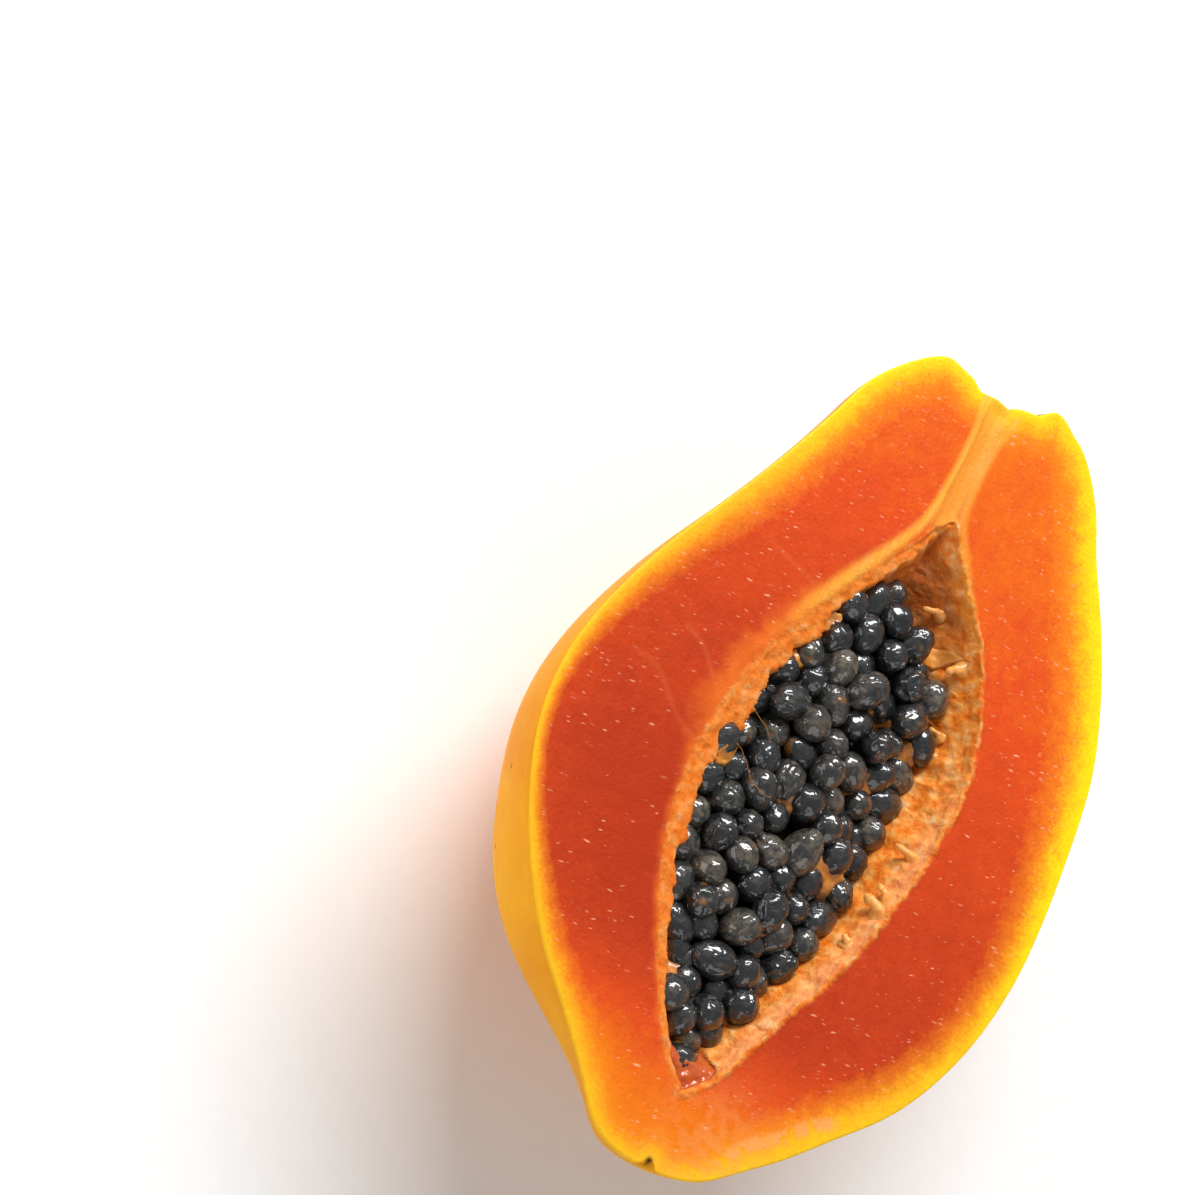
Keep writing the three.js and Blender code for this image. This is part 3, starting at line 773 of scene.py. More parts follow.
# Sizes of the patterns in mm. The pores and the grain of the skin, the cells of the flesh and the
# cut vessels are finer on the real fruit, and are drawn as coarse as they need to be to show.
SKIN_CLOUDS, SKIN_STREAKS, SKIN_PORES, SKIN_SPECKS, SKIN_GRAIN = 26, 1.6, 2.2, 11, 0.9
CORK_CRUMBS = 1.3
FLESH_CELLS, FLESH_CLOUDS, FLESH_PATCHES = 0.6, 2.2, 9
STRAND_THREADS, LINING_FUZZ = 0.5, 1.6
COAT_MOTTLING, COAT_WRINKLES, JELLY_DENTS, JELLY_STAINS = 1.7, 1.1, 1.9, 3.6
PULP_CLOUDS, BOARD_GRAIN = 1.6, 3

# How deep the finest relief is in mm.
SKIN_GRAIN_DEPTH, FLESH_GRAIN_DEPTH, WRINKLE_DEPTH, DENT_DEPTH, PULP_DEPTH = (
    0.12, 0.16, 0.35, 0.6, 0.3)

# Flecks of cut vessels, painted pale as their wet glints: their size in mm, and the share of bare
# places far from the rim and at it.
FLECKS = [(0.58, 0.94, 0.77), (0.36, 0.94, 0.78)]
FLECK_LENGTH, FLECK_TURN = 3.4, 13           # in widths, and degrees from the fruit's axis
FLECK_DRIFT, FLECK_DRIFT_SIZE = 0.8, 2.5     # how far they stray from even rows, over which size
OLIVE_FROM, OLIVE_TO = -35, -68              # y in the CAD frame where the skin turns olive


def colour(value):
    """Linear RGBA of a hex code, of a grey from 0 to 1, or of a linear colour."""
    if isinstance(value, str):
        value = linear(value)
    elif isinstance(value, (int, float)):
        value = (value,) * 3
    return (*value, 1)


def plug(tree, node, inputs):
    """Sets a node's inputs, by name or in their order, to values or to links from sockets."""
    for key, value in inputs.items() if isinstance(inputs, dict) else enumerate(inputs):
        socket = node.inputs[key]
        if isinstance(value, bpy.types.NodeSocket):
            tree.links.new(value, socket)
        elif socket.type == "RGBA":
            socket.default_value = colour(value)
        else:
            socket.default_value = value


def add(tree, kind, inputs=(), out=0, stops=(), **settings):
    """Adds a node with its settings, its inputs and its ramp's stops, and returns one output."""
    made = tree.nodes.new("ShaderNode" + kind)
    for key, value in settings.items():
        setattr(made, key, value)
    plug(tree, made, inputs)
    if stops:
        elements = made.color_ramp.elements
        while len(elements) < len(stops):
            elements.new(1)
        for element, (at, tone) in zip(elements, stops):
            element.position = at
            element.color = colour(tone)
    return made.outputs[out]


def weigh(tree, start, *terms):
    """start, a number or a socket, plus each term's socket times its factor."""
    for value, factor in terms:
        start = add(tree, "Math", (value, factor, start), operation="MULTIPLY_ADD")
    return start


def paint(tree, base, *coats):
    """Lays coats over a base colour, each where its share says, as (share, strength, colour)."""
    for share, strength, over in coats:
        if strength != 1:
            share = weigh(tree, 0, (share, strength))
        base = add(
            tree, "Mix", {MIX_SHARE: share, MIX_UNDER: base, MIX_OVER: over}, out=MIX_RESULT,
            data_type="RGBA")
    return base


def start_material(name):
    """A new material: itself, its node tree, its Principled shader and the place on the fruit."""
    material = bpy.data.materials.new(name)
    material.use_nodes = True
    tree = material.node_tree
    place = add(tree, "TexCoord", out="Object")
    return material, tree, tree.nodes["Principled BSDF"], place


def finish_values(tree, *names):
    """What the mesh says at each point about where a finish lies, by name."""
    return {name: add(tree, "Attribute", out="Fac", attribute_name=name) for name in names}


def per_mm(size):
    """Texture scale that makes a pattern `size` mm across, as the meshes are in metres."""
    return 1 / (size * MM)


def skin_material(settings):
    """Ripe papaya skin, grown and unwashed: a thin wax over yellow rind.

    The wax gives broad soft highlights, and the eye reads cloudy amber blotches, faint streaks along
    the fruit, fine pores and a few brown specks, with corky rings round the stem scar.
    """
    material, tree, shader, place = start_material("ripe_skin_waxy")
    at = finish_values(tree, "scar", "dimple")
    amber = settings.skin_amber
    clouds = add(tree, "TexNoise", {
        "Vector": place, "Scale": per_mm(SKIN_CLOUDS), "Detail": 5, "Roughness": 0.55})
    tone = add(tree, "ValToRGB", {"Fac": clouds}, stops=[
        (0.34, amber), (0.64, settings.skin_yellow)])
    lengthwise = add(tree, "Mapping", {"Vector": place, "Scale": (1, 0.12, 1)})
    streaks = add(tree, "TexNoise", {
        "Vector": lengthwise, "Scale": per_mm(SKIN_STREAKS), "Detail": 4, "Roughness": 0.6})
    along = add(tree, "SeparateXYZ", (place,), out="Y")
    blossom = add(tree, "MapRange", {
        "Value": along, "From Min": OLIVE_FROM * MM, "From Max": OLIVE_TO * MM, "To Max": 0.35})
    pores = add(tree, "TexVoronoi", {"Vector": place, "Scale": per_mm(SKIN_PORES)})
    pore = add(tree, "ValToRGB", {"Fac": pores}, stops=[(0.05, 0.5), (0.16, 0)])
    specks = add(tree, "TexVoronoi", {"Vector": place, "Scale": per_mm(SKIN_SPECKS)})
    speck = add(tree, "ValToRGB", {"Fac": specks}, stops=[(0.025, 0.8), (0.05, 0)])

    crumbs = add(tree, "TexNoise", {"Vector": place, "Scale": per_mm(CORK_CRUMBS), "Detail": 4})
    from_scar = weigh(tree, 0, (weigh(tree, at["scar"], (crumbs, 3)), 0.05))
    cork = add(tree, "ValToRGB", {"Fac": from_scar}, stops=[
        (0.12, "#b98a4e"), (0.25, "#8d5f2e"), (0.4, "#7a4f24"), (0.5, "#c9a53c")])
    is_cork = add(tree, "ValToRGB", {"Fac": from_scar}, stops=[(0.43, 1), (0.56, 0)])
    skin = paint(
        tree, tone, (streaks, 0.4, amber), (blossom, 1, settings.skin_olive), (pore, 1, amber),
        (speck, 1, "#8a5a1e"), (is_cork, 1, cork), (at["dimple"], 1, "#4a2a12"))

    gloss = add(tree, "MapRange", {"Value": clouds, "To Min": 0.36, "To Max": 0.54})
    grain = add(tree, "TexNoise", {"Vector": place, "Scale": per_mm(SKIN_GRAIN), "Detail": 3})
    cork_depth = add(tree, "Math", (is_cork, crumbs), operation="MULTIPLY")
    bump = add(tree, "Bump", {
        "Height": weigh(tree, grain, (cork_depth, 6)), "Strength": 0.35,
        "Distance": SKIN_GRAIN_DEPTH * MM})
    plug(tree, shader, {
        "Base Color": skin, "Roughness": weigh(tree, gloss, (is_cork, 0.4)), "Normal": bump,
        "Subsurface Weight": 0.12, "Subsurface Radius": (1.0, 0.5, 0.1),
        "Subsurface Scale": 1.5 * MM, "IOR": 1.35, "Specular IOR Level": 0.06})
    return material


def flesh_material(settings):
    """Papaya flesh, cut with a knife and wet with its own juice.

    The eye reads a lemon rim that grains into orange and then red flesh, short pale flecks of cut
    vessels that glint, the straw-coloured strand, the paler fibrous lining of the seed cavity and
    the juice that shines in its tip. Light is painted into it too: the rim's lemon on the lit right,
    deeper red as painted shade on the left, the flecks' glints, a pale painted glare near the
    blossom end, painted highlights on the lining's pale crests and near its right lip, and painted
    shade deep in the cavity.
    """
    material, tree, shader, place = start_material("cut_flesh_wet")
    at = finish_values(
        tree, "rind", "lemon", "lining", "deep", "ripe", "melt", "strand", "vein", "painted_glare", "pool",
        "peach_and_highlight", "dimple")
    grain, cloud, patches = (
        add(tree, "TexNoise", {"Vector": place, "Scale": per_mm(size), "Detail": 3})
        for size in (FLESH_CELLS, FLESH_CLOUDS, FLESH_PATCHES))
    mottled = weigh(tree, at["ripe"], (patches, 0.36), (cloud, 0.3), (grain, 0.3))
    # The ramp paints the flesh deeper red where it is riper and, as painted shade, on its left side
    # away from the light.
    ripe = add(tree, "ValToRGB", {"Fac": weigh(tree, -0.1, (mottled, 0.75))}, stops=[
        (0.22, settings.flesh_orange), (0.56, settings.flesh_red), (1, settings.flesh_deep)])
    grained = weigh(tree, at["rind"], (grain, 0.9), (cloud, 0.9))
    inwards = weigh(tree, 0, (grained, 0.2))
    past_edge, is_flesh = (
        add(tree, "MapRange", {"Value": inwards, "From Min": low, "From Max": high})
        for low, high in ((0.16, 0.5), (0.3, 0.72)))
    lengthwise = add(tree, "Mapping", {"Vector": place, "Scale": (1, 0.06, 1)})
    threads = add(tree, "TexNoise", {
        "Vector": lengthwise, "Scale": per_mm(STRAND_THREADS), "Detail": 3})
    strand = add(tree, "ValToRGB", {"Fac": threads}, stops=[
        (0.3, "#fbaf3e"), (0.5, "#fdb843"), (0.72, "#fec45c")])
    patchy = add(tree, "MapRange", {"Value": cloud, "From Min": 0.4, "From Max": 0.55})
    glare_share = add(tree, "Math", (at["painted_glare"], patchy), operation="MULTIPLY")
    face = paint(
        # The lemon rim is partly painted light on the lit right and stem side.
        tree, settings.rim_yellow, (at["lemon"], 1, settings.rim_lemon), (past_edge, 1, "#fa9420"),
        # Deeper red on the left is partly painted shade.
        (is_flesh, 1, ripe), (at["vein"], 0.16, "#f58a4c"), (at["melt"], 0.92, settings.lip_orange),
        # Pale flecks painted as glints on the cut vessels.
        (fleck_glint_share(tree, place, at), 0.8, "#ffbe98"), (at["strand"], 1, strand),
        # A pale painted glare of the wet flesh near the blossom end.
        (glare_share, 0.75, "#fbaa62"))

    fuzz = add(tree, "TexNoise", {
        "Vector": place, "Scale": per_mm(LINING_FUZZ), "Detail": 6, "Roughness": 0.62})
    tufts = weigh(tree, 0, (weigh(tree, fuzz, (cloud, 1)), 0.5))
    # The palest stops, on the lining's fuzzy crests, are partly painted highlights of its wet fibres.
    fibrous = add(tree, "ValToRGB", {"Fac": tufts}, stops=[
        (0.36, "#de6c1a"), (0.46, "#f6882c"), (0.55, "#ffa850"), (0.68, "#ffcc90")])
    # Deep in the cavity and in the stem-end hollow the lining is painted darker: its browner tint with
    # painted shade.
    lining = paint(
        # Paler peach near the right lip: partly painted highlight.
        tree, fibrous, (at["peach_and_highlight"], 0.3, "#ffc096"), (at["deep"], 1, settings.lining_tint_and_shade),
        (at["melt"], 0.45, settings.lip_orange), (at["strand"], 0.8, strand))
    ragged = weigh(tree, at["lining"], (fuzz, -1.6))
    is_lining = add(tree, "MapRange", {"Value": ragged, "From Min": 0.2, "From Max": -0.7})
    whole = paint(
        tree, face, (is_lining, 1, lining), (at["pool"], 0.9, "#c2501e"),
        (at["dimple"], 1, "#5a3013"))

    gloss = add(tree, "MapRange", {"Value": patches, "To Min": 0.3, "To Max": 0.5})
    fibres = add(tree, "Math", (fuzz, is_lining), operation="MULTIPLY")
    rough = weigh(tree, 0, (grain, 1.2), (fibres, 5))
    height = add(tree, "Math", (rough, weigh(tree, 1, (at["pool"], -1))), operation="MULTIPLY")
    bump = add(tree, "Bump", {
        "Height": height, "Strength": 0.7, "Distance": FLESH_GRAIN_DEPTH * MM})
    crests = add(tree, "MapRange", {"Value": fuzz, "From Min": 0.54, "From Max": 0.62})
    sparkle = add(tree, "Math", (crests, is_lining), operation="MULTIPLY")
    plug(tree, shader, {
        "Base Color": whole, "Roughness": weigh(tree, gloss, (glare_share, -0.15)), "Normal": bump,
        "Subsurface Weight": 0.2, "Subsurface Radius": (1.0, 0.4, 0.1),
        "Subsurface Scale": 2 * MM, "IOR": 1.33, "Specular IOR Level": 0.15,
        "Coat Weight": weigh(tree, 0.025, (sparkle, 0.55), (at["pool"], 1)),
        "Coat Roughness": 0.05, "Coat IOR": 1.5, "Coat Normal": bump})
    return material


def fleck_glint_share(tree, place, at):
    """1 on the short pale flecks where vessels were cut, painted as glints: more of them near the rim.
    """
    bent = add(tree, "TexNoise", {
        "Vector": place, "Scale": per_mm(FLECK_DRIFT_SIZE), "Detail": 1}, out="Color")
    drifted = add(
        tree, "VectorMath", (bent, (FLECK_DRIFT * MM,) * 3, place), operation="MULTIPLY_ADD")
    bare = 1
    for size, bare_far, bare_near in FLECKS:
        drawn_out = add(tree, "Mapping", {
            "Vector": drifted, "Rotation": (0, 0, math.radians(FLECK_TURN)),
            "Scale": (FLECK_LENGTH, 1, 1)}, vector_type="TEXTURE")
        middle = add(tree, "TexVoronoi", {"Vector": drawn_out, "Scale": per_mm(size)})
        chance, thin, pale = add(tree, "SeparateColor", (middle.node.outputs["Color"],)).node.outputs
        limit = add(tree, "MapRange", {
            "Value": at["rind"], "From Min": 1, "From Max": 14, "To Min": bare_near,
            "To Max": bare_far})
        chosen = add(tree, "Math", (chance, limit), operation="GREATER_THAN")
        dot = add(tree, "MapRange", {
            "Value": weigh(tree, middle, (thin, 0.35)), "From Min": 0.45, "From Max": 0.18})
        shown = add(tree, "Math", (chosen, dot), operation="MULTIPLY")
        fleck = add(tree, "Math", (shown, pale), operation="MULTIPLY")
        bare = add(tree, "Math", (weigh(tree, 1, (fleck, -1)), bare), operation="MULTIPLY")
    past_rim = add(tree, "MapRange", {"Value": at["rind"], "From Min": 0.6, "From Max": 1.4})
    off_lining = add(tree, "MapRange", {"Value": at["lining"], "From Min": 0.8, "From Max": 3})
    on_flesh = add(tree, "Math", (past_rim, off_lining), operation="MULTIPLY")
    return add(tree, "Math", (on_flesh, weigh(tree, 1, (bare, -1))), operation="MULTIPLY")


def seed_material(settings):
    """Papaya seeds, wet from the fruit: black wrinkled coats inside a clear jelly skin.

    The jelly gives small sharp window-like highlights over soft grey-brown mottling.
    """
    material, tree, shader, place = start_material("seed_jelly_wet")
    at = finish_values(tree, "seed_tone")
    mottling = add(tree, "TexNoise", {
        "Vector": place, "Scale": per_mm(COAT_MOTTLING), "Detail": 5, "Roughness": 0.6,
        "Distortion": 0.8})
    tone = weigh(tree, 0, (mottling, 0.9), (at["seed_tone"], 0.35))
    coat = add(tree, "ValToRGB", {"Fac": tone}, stops=[
        (0.28, settings.coat_black), (0.48, "#181c20"), (0.66, "#33312d"),
        (0.88, settings.jelly_brown)])
    stains = add(tree, "TexNoise", {"Vector": place, "Scale": per_mm(JELLY_STAINS), "Detail": 1})
    stained = add(tree, "MapRange", {
        "Value": stains, "From Min": 0.7, "From Max": 0.78, "To Max": 0.75})
    creases = add(tree, "TexNoise", {
        "Vector": place, "Scale": per_mm(COAT_WRINKLES), "Detail": 3, "Distortion": 1.2})
    wrinkles = add(tree, "Bump", {
        "Height": creases, "Strength": 0.7, "Distance": WRINKLE_DEPTH * MM})
    jelly = add(tree, "TexNoise", {
        "Vector": place, "Scale": per_mm(JELLY_DENTS), "Detail": 1, "Distortion": 0.8})
    dents = add(tree, "Bump", {"Height": jelly, "Strength": 0.6, "Distance": DENT_DEPTH * MM})
    plug(tree, shader, {
        "Base Color": paint(tree, coat, (stained, 1, "#8a5c1c")), "Normal": wrinkles,
        "Roughness": 0.45, "IOR": 1.33, "Coat Normal": dents, "Coat Weight": 1.0,
        "Coat Roughness": 0.02, "Coat IOR": 1.68, "Sheen Weight": 0.08, "Sheen Roughness": 0.3,
        "Sheen Tint": "#a89888"})
    return material


def pulp_material(settings):
    """Papaya pulp and seed stubs, torn: soft amber tissue that light passes into, with a wet shine."""
    material, tree, shader, place = start_material("torn_pulp_amber")
    at = finish_values(tree, "pulp_tone")
    clouds = add(tree, "TexNoise", {"Vector": place, "Scale": per_mm(PULP_CLOUDS), "Detail": 4})
    tone = weigh(tree, at["pulp_tone"], (clouds, 0.5))
    tissue = add(tree, "ValToRGB", {"Fac": tone}, stops=[
        (0.25, "#8a4e1a"), (0.5, "#bc752a"), (0.8, settings.pulp_amber), (1, settings.pulp_pale)])
    bump = add(tree, "Bump", {"Height": clouds, "Strength": 0.5, "Distance": PULP_DEPTH * MM})
    plug(tree, shader, {
        "Base Color": tissue, "Normal": bump, "Roughness": 0.4, "Coat Weight": 0.4,
        "Coat Roughness": 0.08, "Subsurface Weight": 0.3, "Subsurface Radius": (1.0, 0.5, 0.15),
        "Subsurface Scale": 1.2 * MM})
    return material


def floor_material():
    """Pale matt board, painted: it only catches the soft shadow."""
    material, tree, shader, place = start_material("floor_board_matt")
    grain = add(tree, "TexNoise", {"Vector": place, "Scale": per_mm(BOARD_GRAIN), "Detail": 3})
    tone = add(tree, "ValToRGB", {"Fac": grain}, stops=[(0.3, "#fafafa"), (0.7, "#fcfcfc")])
    plug(tree, shader, {"Base Color": tone, "Roughness": 0.8})
    return material


# --- Seeds and what lies among them -------------------------------------------------------------


def settle(seed):
    """Keeps a seed's middle off the cavity wall and out of the empty pocket, and on the heap."""
    x, y, _, sink = seed
    y = min(max(y, CAVITY_FROM + SEED_TIP_ROOM[0]), CAVITY_TO - SEED_TIP_ROOM[1])
    past = y + POCKET_SLOPE * x - POCKET_LIMIT
    if past > 0:
        share = past / (1 + POCKET_SLOPE ** 2)
        x -= POCKET_SLOPE * share
        y -= share
    z = float(heap_top(x, y)) - sink - SEED_WIDTH / 2
    deep = min(max(-z / float(cavity_depth(y)), 0), 1)
    middle = float(cavity_middle(y))
    side = 0 if x < middle else 1
    power = CAVITY_WALL_POWER[side]
    narrowing = (1 - deep ** power) ** (1 / power)
    room = max(float(cavity_half_width(y)) * narrowing - SEED_WALL_ROOM[side], 0)
    seed[:3] = min(max(x, middle - room), middle + room), y, z


def seed_places(draw, count, extra_sink=0.0):
    """Seed middles: scattered over the cavity, then pushed apart until none crowds another."""
    seeds = []
    while len(seeds) < count:
        y = draw(CAVITY_FROM, CAVITY_TO)
        x = CAVITY_WIDEST * draw(-1, 1)
        sink = extra_sink + SEED_SINK * draw()
        inside = abs(x - float(cavity_middle(y))) < float(cavity_half_width(y))
        if inside and y + POCKET_SLOPE * x < POCKET_LIMIT:
            seeds.append([x, y, 0.0, sink])
    for _ in range(SEED_SETTLE_ROUNDS):
        for seed in seeds:
            settle(seed)
        for i, a in enumerate(seeds):
            for b in seeds[:i]:
                dx, dy, dz = a[0] - b[0], a[1] - b[1], a[2] - b[2]
                apart = math.sqrt(dx * dx + dy * dy + dz * dz)
                if apart < SEED_PITCH:
                    push = 0.5 * (SEED_PITCH - apart) / max(math.hypot(dx, dy), 0.5)
                    a[0] += push * dx
                    a[1] += push * dy
                    b[0] -= push * dx
                    b[1] -= push * dy
    for seed in seeds:
        settle(seed)
    return seeds


def ball(fineness):
    """Points and triangles of an even ball of radius 1."""
    form = bmesh.new()
    bmesh.ops.create_icosphere(form, subdivisions=fineness, radius=1)
    points = np.array([v.co for v in form.verts])
    faces = np.array([[v.index for v in f.verts] for f in form.faces])
    form.free()
    return points, faces


def seed_form(points, size, turn, start, wrinkled):
    """One seed: an egg with a soft keel, swollen or crinkled, turned about its middle."""
    along = points[:, 1]
    taper = 1 - SEED_TAPER * along
    usual, more = SEED_STRETCH
    stretch = usual + more * math.sin(start)
    form = points * np.array([SEED_WIDTH / 2, SEED_LENGTH / 2 * stretch, SEED_WIDTH / 2]) * size
    form[:, 0] *= taper
    form[:, 2] *= taper
    lumps = bumps(points, SEED_LUMP_SIZE, 2, start)
    creases = np.abs(bumps(points * np.array(CREASE_SQUEEZE), CREASE_SIZE, 2, start + 3))
    form *= (1 + SEED_LUMPS * lumps - wrinkled * (creases + 0.4 * np.abs(lumps)))[:, None]
    return form @ np.array(turn.to_3x3().transposed()), creases


def seed_forms(places, draw, fineness):
    """A seed at each place, as its points, faces and tones."""
    points, faces = ball(fineness)
    gather = []
    look = Draws(SEED_DRAW_START + len(places))
    least, more = NEARLY_SMOOTH
    for number, (x, y, z, _) in enumerate(places):
        size = 1 + SEED_SIZE_SPREAD * draw(-1, 1)
        a, b, c = (math.pi * draw() for _ in range(3))
        turn = Matrix.Rotation(a, 3, "X") @ Matrix.Rotation(b, 3, "Y") @ Matrix.Rotation(c, 3, "Z")
        wrinkled = WRINKLED if look() > 1 - WRINKLED_SHARE else least + more * look() ** 2
        form, creases = seed_form(points, size, turn, 7 * number, wrinkled)
        tones = look() ** 1.5 + SEED_TONE_LEAST + SEED_TONE_IN_CREASES * creases
        gather.append((form + np.array([x, y + SKEW * x, z]), faces, tones))
    return gather


def gathered_piece(name, gather, material, key):
    """One piece from many forms, each with its own tone, or a tone for each of its points."""
    points, faces, tones, first = [], [], [], 0
    for form, form_faces, tone in gather:
        points.append(form)
        faces += [[int(corner) + first for corner in face] for face in form_faces]
        tones.append(np.broadcast_to(tone, len(form)))
        first += len(form)
    values = {key: np.concatenate(tones)}
    return mesh_piece(name, np.concatenate(points), faces, [material], values)


def seed_tops(places):
    """Heights of seeds and wall over the cavity: the grid's x and y, the heights, and them evened."""
    xs = np.arange(-CAVITY_WIDEST - 6, CAVITY_WIDEST + 6, SEED_TOPS_STEP)
    ys = np.arange(CAVITY_FROM - 4, CAVITY_TO + 4, SEED_TOPS_STEP)
    x, y = np.meshgrid(xs, ys, indexing="ij")
    side = (x - cavity_middle(y)) / np.maximum(cavity_half_width(y), 0.1)
    power = np.where(side < 0, *CAVITY_WALL_POWER)
    inside = np.minimum(np.abs(side), 1)
    tops = -cavity_depth(np.clip(y, CAVITY_FROM, CAVITY_TO)) * (1 - inside ** power) ** (1 / power)
    radius = (SEED_WIDTH + SEED_LENGTH) / 4
    for sx, sy, sz, _ in places:
        square = radius ** 2 - (x - sx) ** 2 - (y - sy) ** 2
        tops = np.where(square > 0, np.maximum(tops, sz + np.sqrt(np.maximum(square, 0))), tops)
    reach = np.arange(-3 * SEED_TOPS_BLUR, 3 * SEED_TOPS_BLUR, SEED_TOPS_STEP)
    weights = np.exp(-0.5 * (reach / SEED_TOPS_BLUR) ** 2)
    weights /= weights.sum()
    even = tops
    for axis in (0, 1):
        even = np.apply_along_axis(np.convolve, axis, even, weights, "same")
    return xs, ys, tops, even


def height_at(xs, ys, heights, x, y):
    """Height of a grid at any place, straight between its points."""
    u = np.clip((x - xs[0]) / SEED_TOPS_STEP, 0, len(xs) - 1.001)
    v = np.clip((y - ys[0]) / SEED_TOPS_STEP, 0, len(ys) - 1.001)
    i, j = u.astype(int), v.astype(int)
    s, t = u - i, v - j
    low = heights[i, j] * (1 - t) + heights[i, j + 1] * t
    high = heights[i + 1, j] * (1 - t) + heights[i + 1, j + 1] * t
    return low * (1 - s) + high * s


def pulp_film(tops, place, number):
    """A film of pulp draped over the seeds: its points, faces and how pale each point is."""
    x0, y0, half_length, half_width, turn, lift, tone = place
    rings, sides = PULP_RINGS, PULP_SIDES
    share = np.linspace(0, 1, rings + 1)[1:, None]
    angle = np.linspace(0, 2 * math.pi, sides, endpoint=False)[None, :]
    ring = np.stack([np.cos(angle[0]), np.sin(angle[0]), np.full(sides, 3.7 * number)], axis=-1)
    reach = share * (1 + PULP_RAGGED * bumps(ring, PULP_RAGGED_SIZE, 2, number))[None, :]
    along, across = half_length * reach * np.cos(angle), half_width * reach * np.sin(angle)
    c, s = math.cos(math.radians(turn)), math.sin(math.radians(turn))
    x = np.concatenate([[x0], (x0 + along * c - across * s).ravel()])
    y = np.concatenate([[y0], (y0 + along * s + across * c).ravel()])
    edge = np.concatenate([[0], np.broadcast_to(share, (rings, sides)).ravel()])
    xs, ys, exact, even = tops
    flat = np.stack([x, y, x * 0], axis=-1)
    swell = PULP_SWELL * bumps(flat, PULP_SWELL_SIZE, 2, number)
    z = height_at(xs, ys, even, x, y) + lift + swell
    z = z - PULP_EDGE * smooth_step(PULP_EDGE_FROM, 1, edge)
    thick = np.clip((z - height_at(xs, ys, exact, x, y)) / PULP_OVER_SEED, 0, 1)
    top = np.stack([x, y + SKEW * x, z], axis=-1)
    under = top - np.array([0, 0, PULP_THICKNESS])
    count = len(top)
    faces = []
    for j in range(sides):
        k = (j + 1) % sides
        faces += [(0, 1 + j, 1 + k), (count, count + 1 + k, count + 1 + j)]
        for i in range(rings - 1):
            a, b = 1 + i * sides, 1 + (i + 1) * sides
            corners = (a + j, b + j, b + k, a + k)
            faces += [corners, tuple(count + corner for corner in reversed(corners))]
        a = 1 + (rings - 1) * sides
        faces.append((a + j, count + a + j, count + a + k, a + k))
    tones = tone * (0.5 + 0.5 * thick)
    return np.concatenate([top, under]), faces, np.concatenate([tones, tones])


def tube(path, radii, sides):
    """A closed tube along a path of points, with its own radius at each."""
    path, radii = np.asarray(path, float), np.asarray(radii, float)
    along = np.gradient(path, axis=0)
    along /= np.linalg.norm(along, axis=1)[:, None]
    side = np.cross(along, [0.1, 0.2, 1.0])
    side /= np.linalg.norm(side, axis=1)[:, None]
    up = np.cross(side, along)
    angle = np.linspace(0, 2 * math.pi, sides, endpoint=False)
    rings = path[:, None] + radii[:, None, None] * (
        np.cos(angle)[None, :, None] * side[:, None] + np.sin(angle)[None, :, None] * up[:, None])
    points = np.concatenate([rings.reshape(-1, 3), path[:1], path[-1:]])
    count, faces = len(path), []
    for i in range(count - 1):
        for j in range(sides):
            k = (j + 1) % sides
            a, b = i * sides, (i + 1) * sides
            faces += [(a + j, b + j, b + k), (a + j, b + k, a + k)]
    for j in range(sides):
        k = (j + 1) % sides
        faces.append((count * sides, j, k))
        faces.append((count * sides + 1, (count - 1) * sides + k, (count - 1) * sides + j))
    return points, faces


def wall_height(x, y):
    """Height of the cavity wall at a place in it."""
    off = x - float(cavity_middle(y))
    power = CAVITY_WALL_POWER[0 if off < 0 else 1]
    share = min(abs(off) / max(float(cavity_half_width(y)), 0.1), 1)
    return -float(cavity_depth(y)) * (1 - share ** power) ** (1 / power)


def stub(x, y, length, lean, thickness, number):
    """A stub of torn tissue that once held a seed: broad at its root, lumpy, with a blunt tip."""
    reach = np.linspace(-STUB_BURIED, 1, STUB_RINGS)
    out_of_wall = np.maximum(reach, 0)[:, None]
    angle = math.radians(lean)
    out = np.array([math.cos(angle), math.sin(angle), STUB_RISE])
    path = np.array([x, y + SKEW * x, wall_height(x, y)]) + length * (
        reach[:, None] * out - out_of_wall ** 2 * np.array([0, 0, STUB_DROOP]))
    path += STUB_BEND * wobble(path, STUB_BEND_SIZE, 2, number) * out_of_wall
    root = np.exp(-np.maximum(reach + 0.15, 0) / STUB_ROOT_LENGTH)
    radii = STUB_RADIUS + STUB_ROOT * root
    radii += STUB_KNOB * np.exp(-((reach - STUB_KNOB_AT) / STUB_KNOB_LENGTH) ** 2)
    radii *= thickness * np.sqrt(np.clip((1.04 - reach) / STUB_TIP, 0, 1))
    points, faces = tube(path, np.maximum(radii, 0.05), STUB_SIDES)
    tones = np.append(np.repeat(np.linspace(*STUB_TONES, len(path)), STUB_SIDES), STUB_TONES)
    points += STUB_LUMPS * wobble(points, STUB_LUMP_SIZE, 2, number + 40)
    return points, faces, tones


# --- What the user may change -------------------------------------------------------------------


def size_property(name, default, low, high, description):
    """A length in mm that the user may change."""
    return FloatProperty(
        name=name, description=description, default=default * MM, min=low * MM, max=high * MM,
        subtype="DISTANCE", unit="LENGTH")


def colour_property(name, code, description):
    """A colour that the user may change."""
    return FloatVectorProperty(
        name=name, description=description, default=linear(code), min=0, max=1, size=3,
        subtype="COLOR")


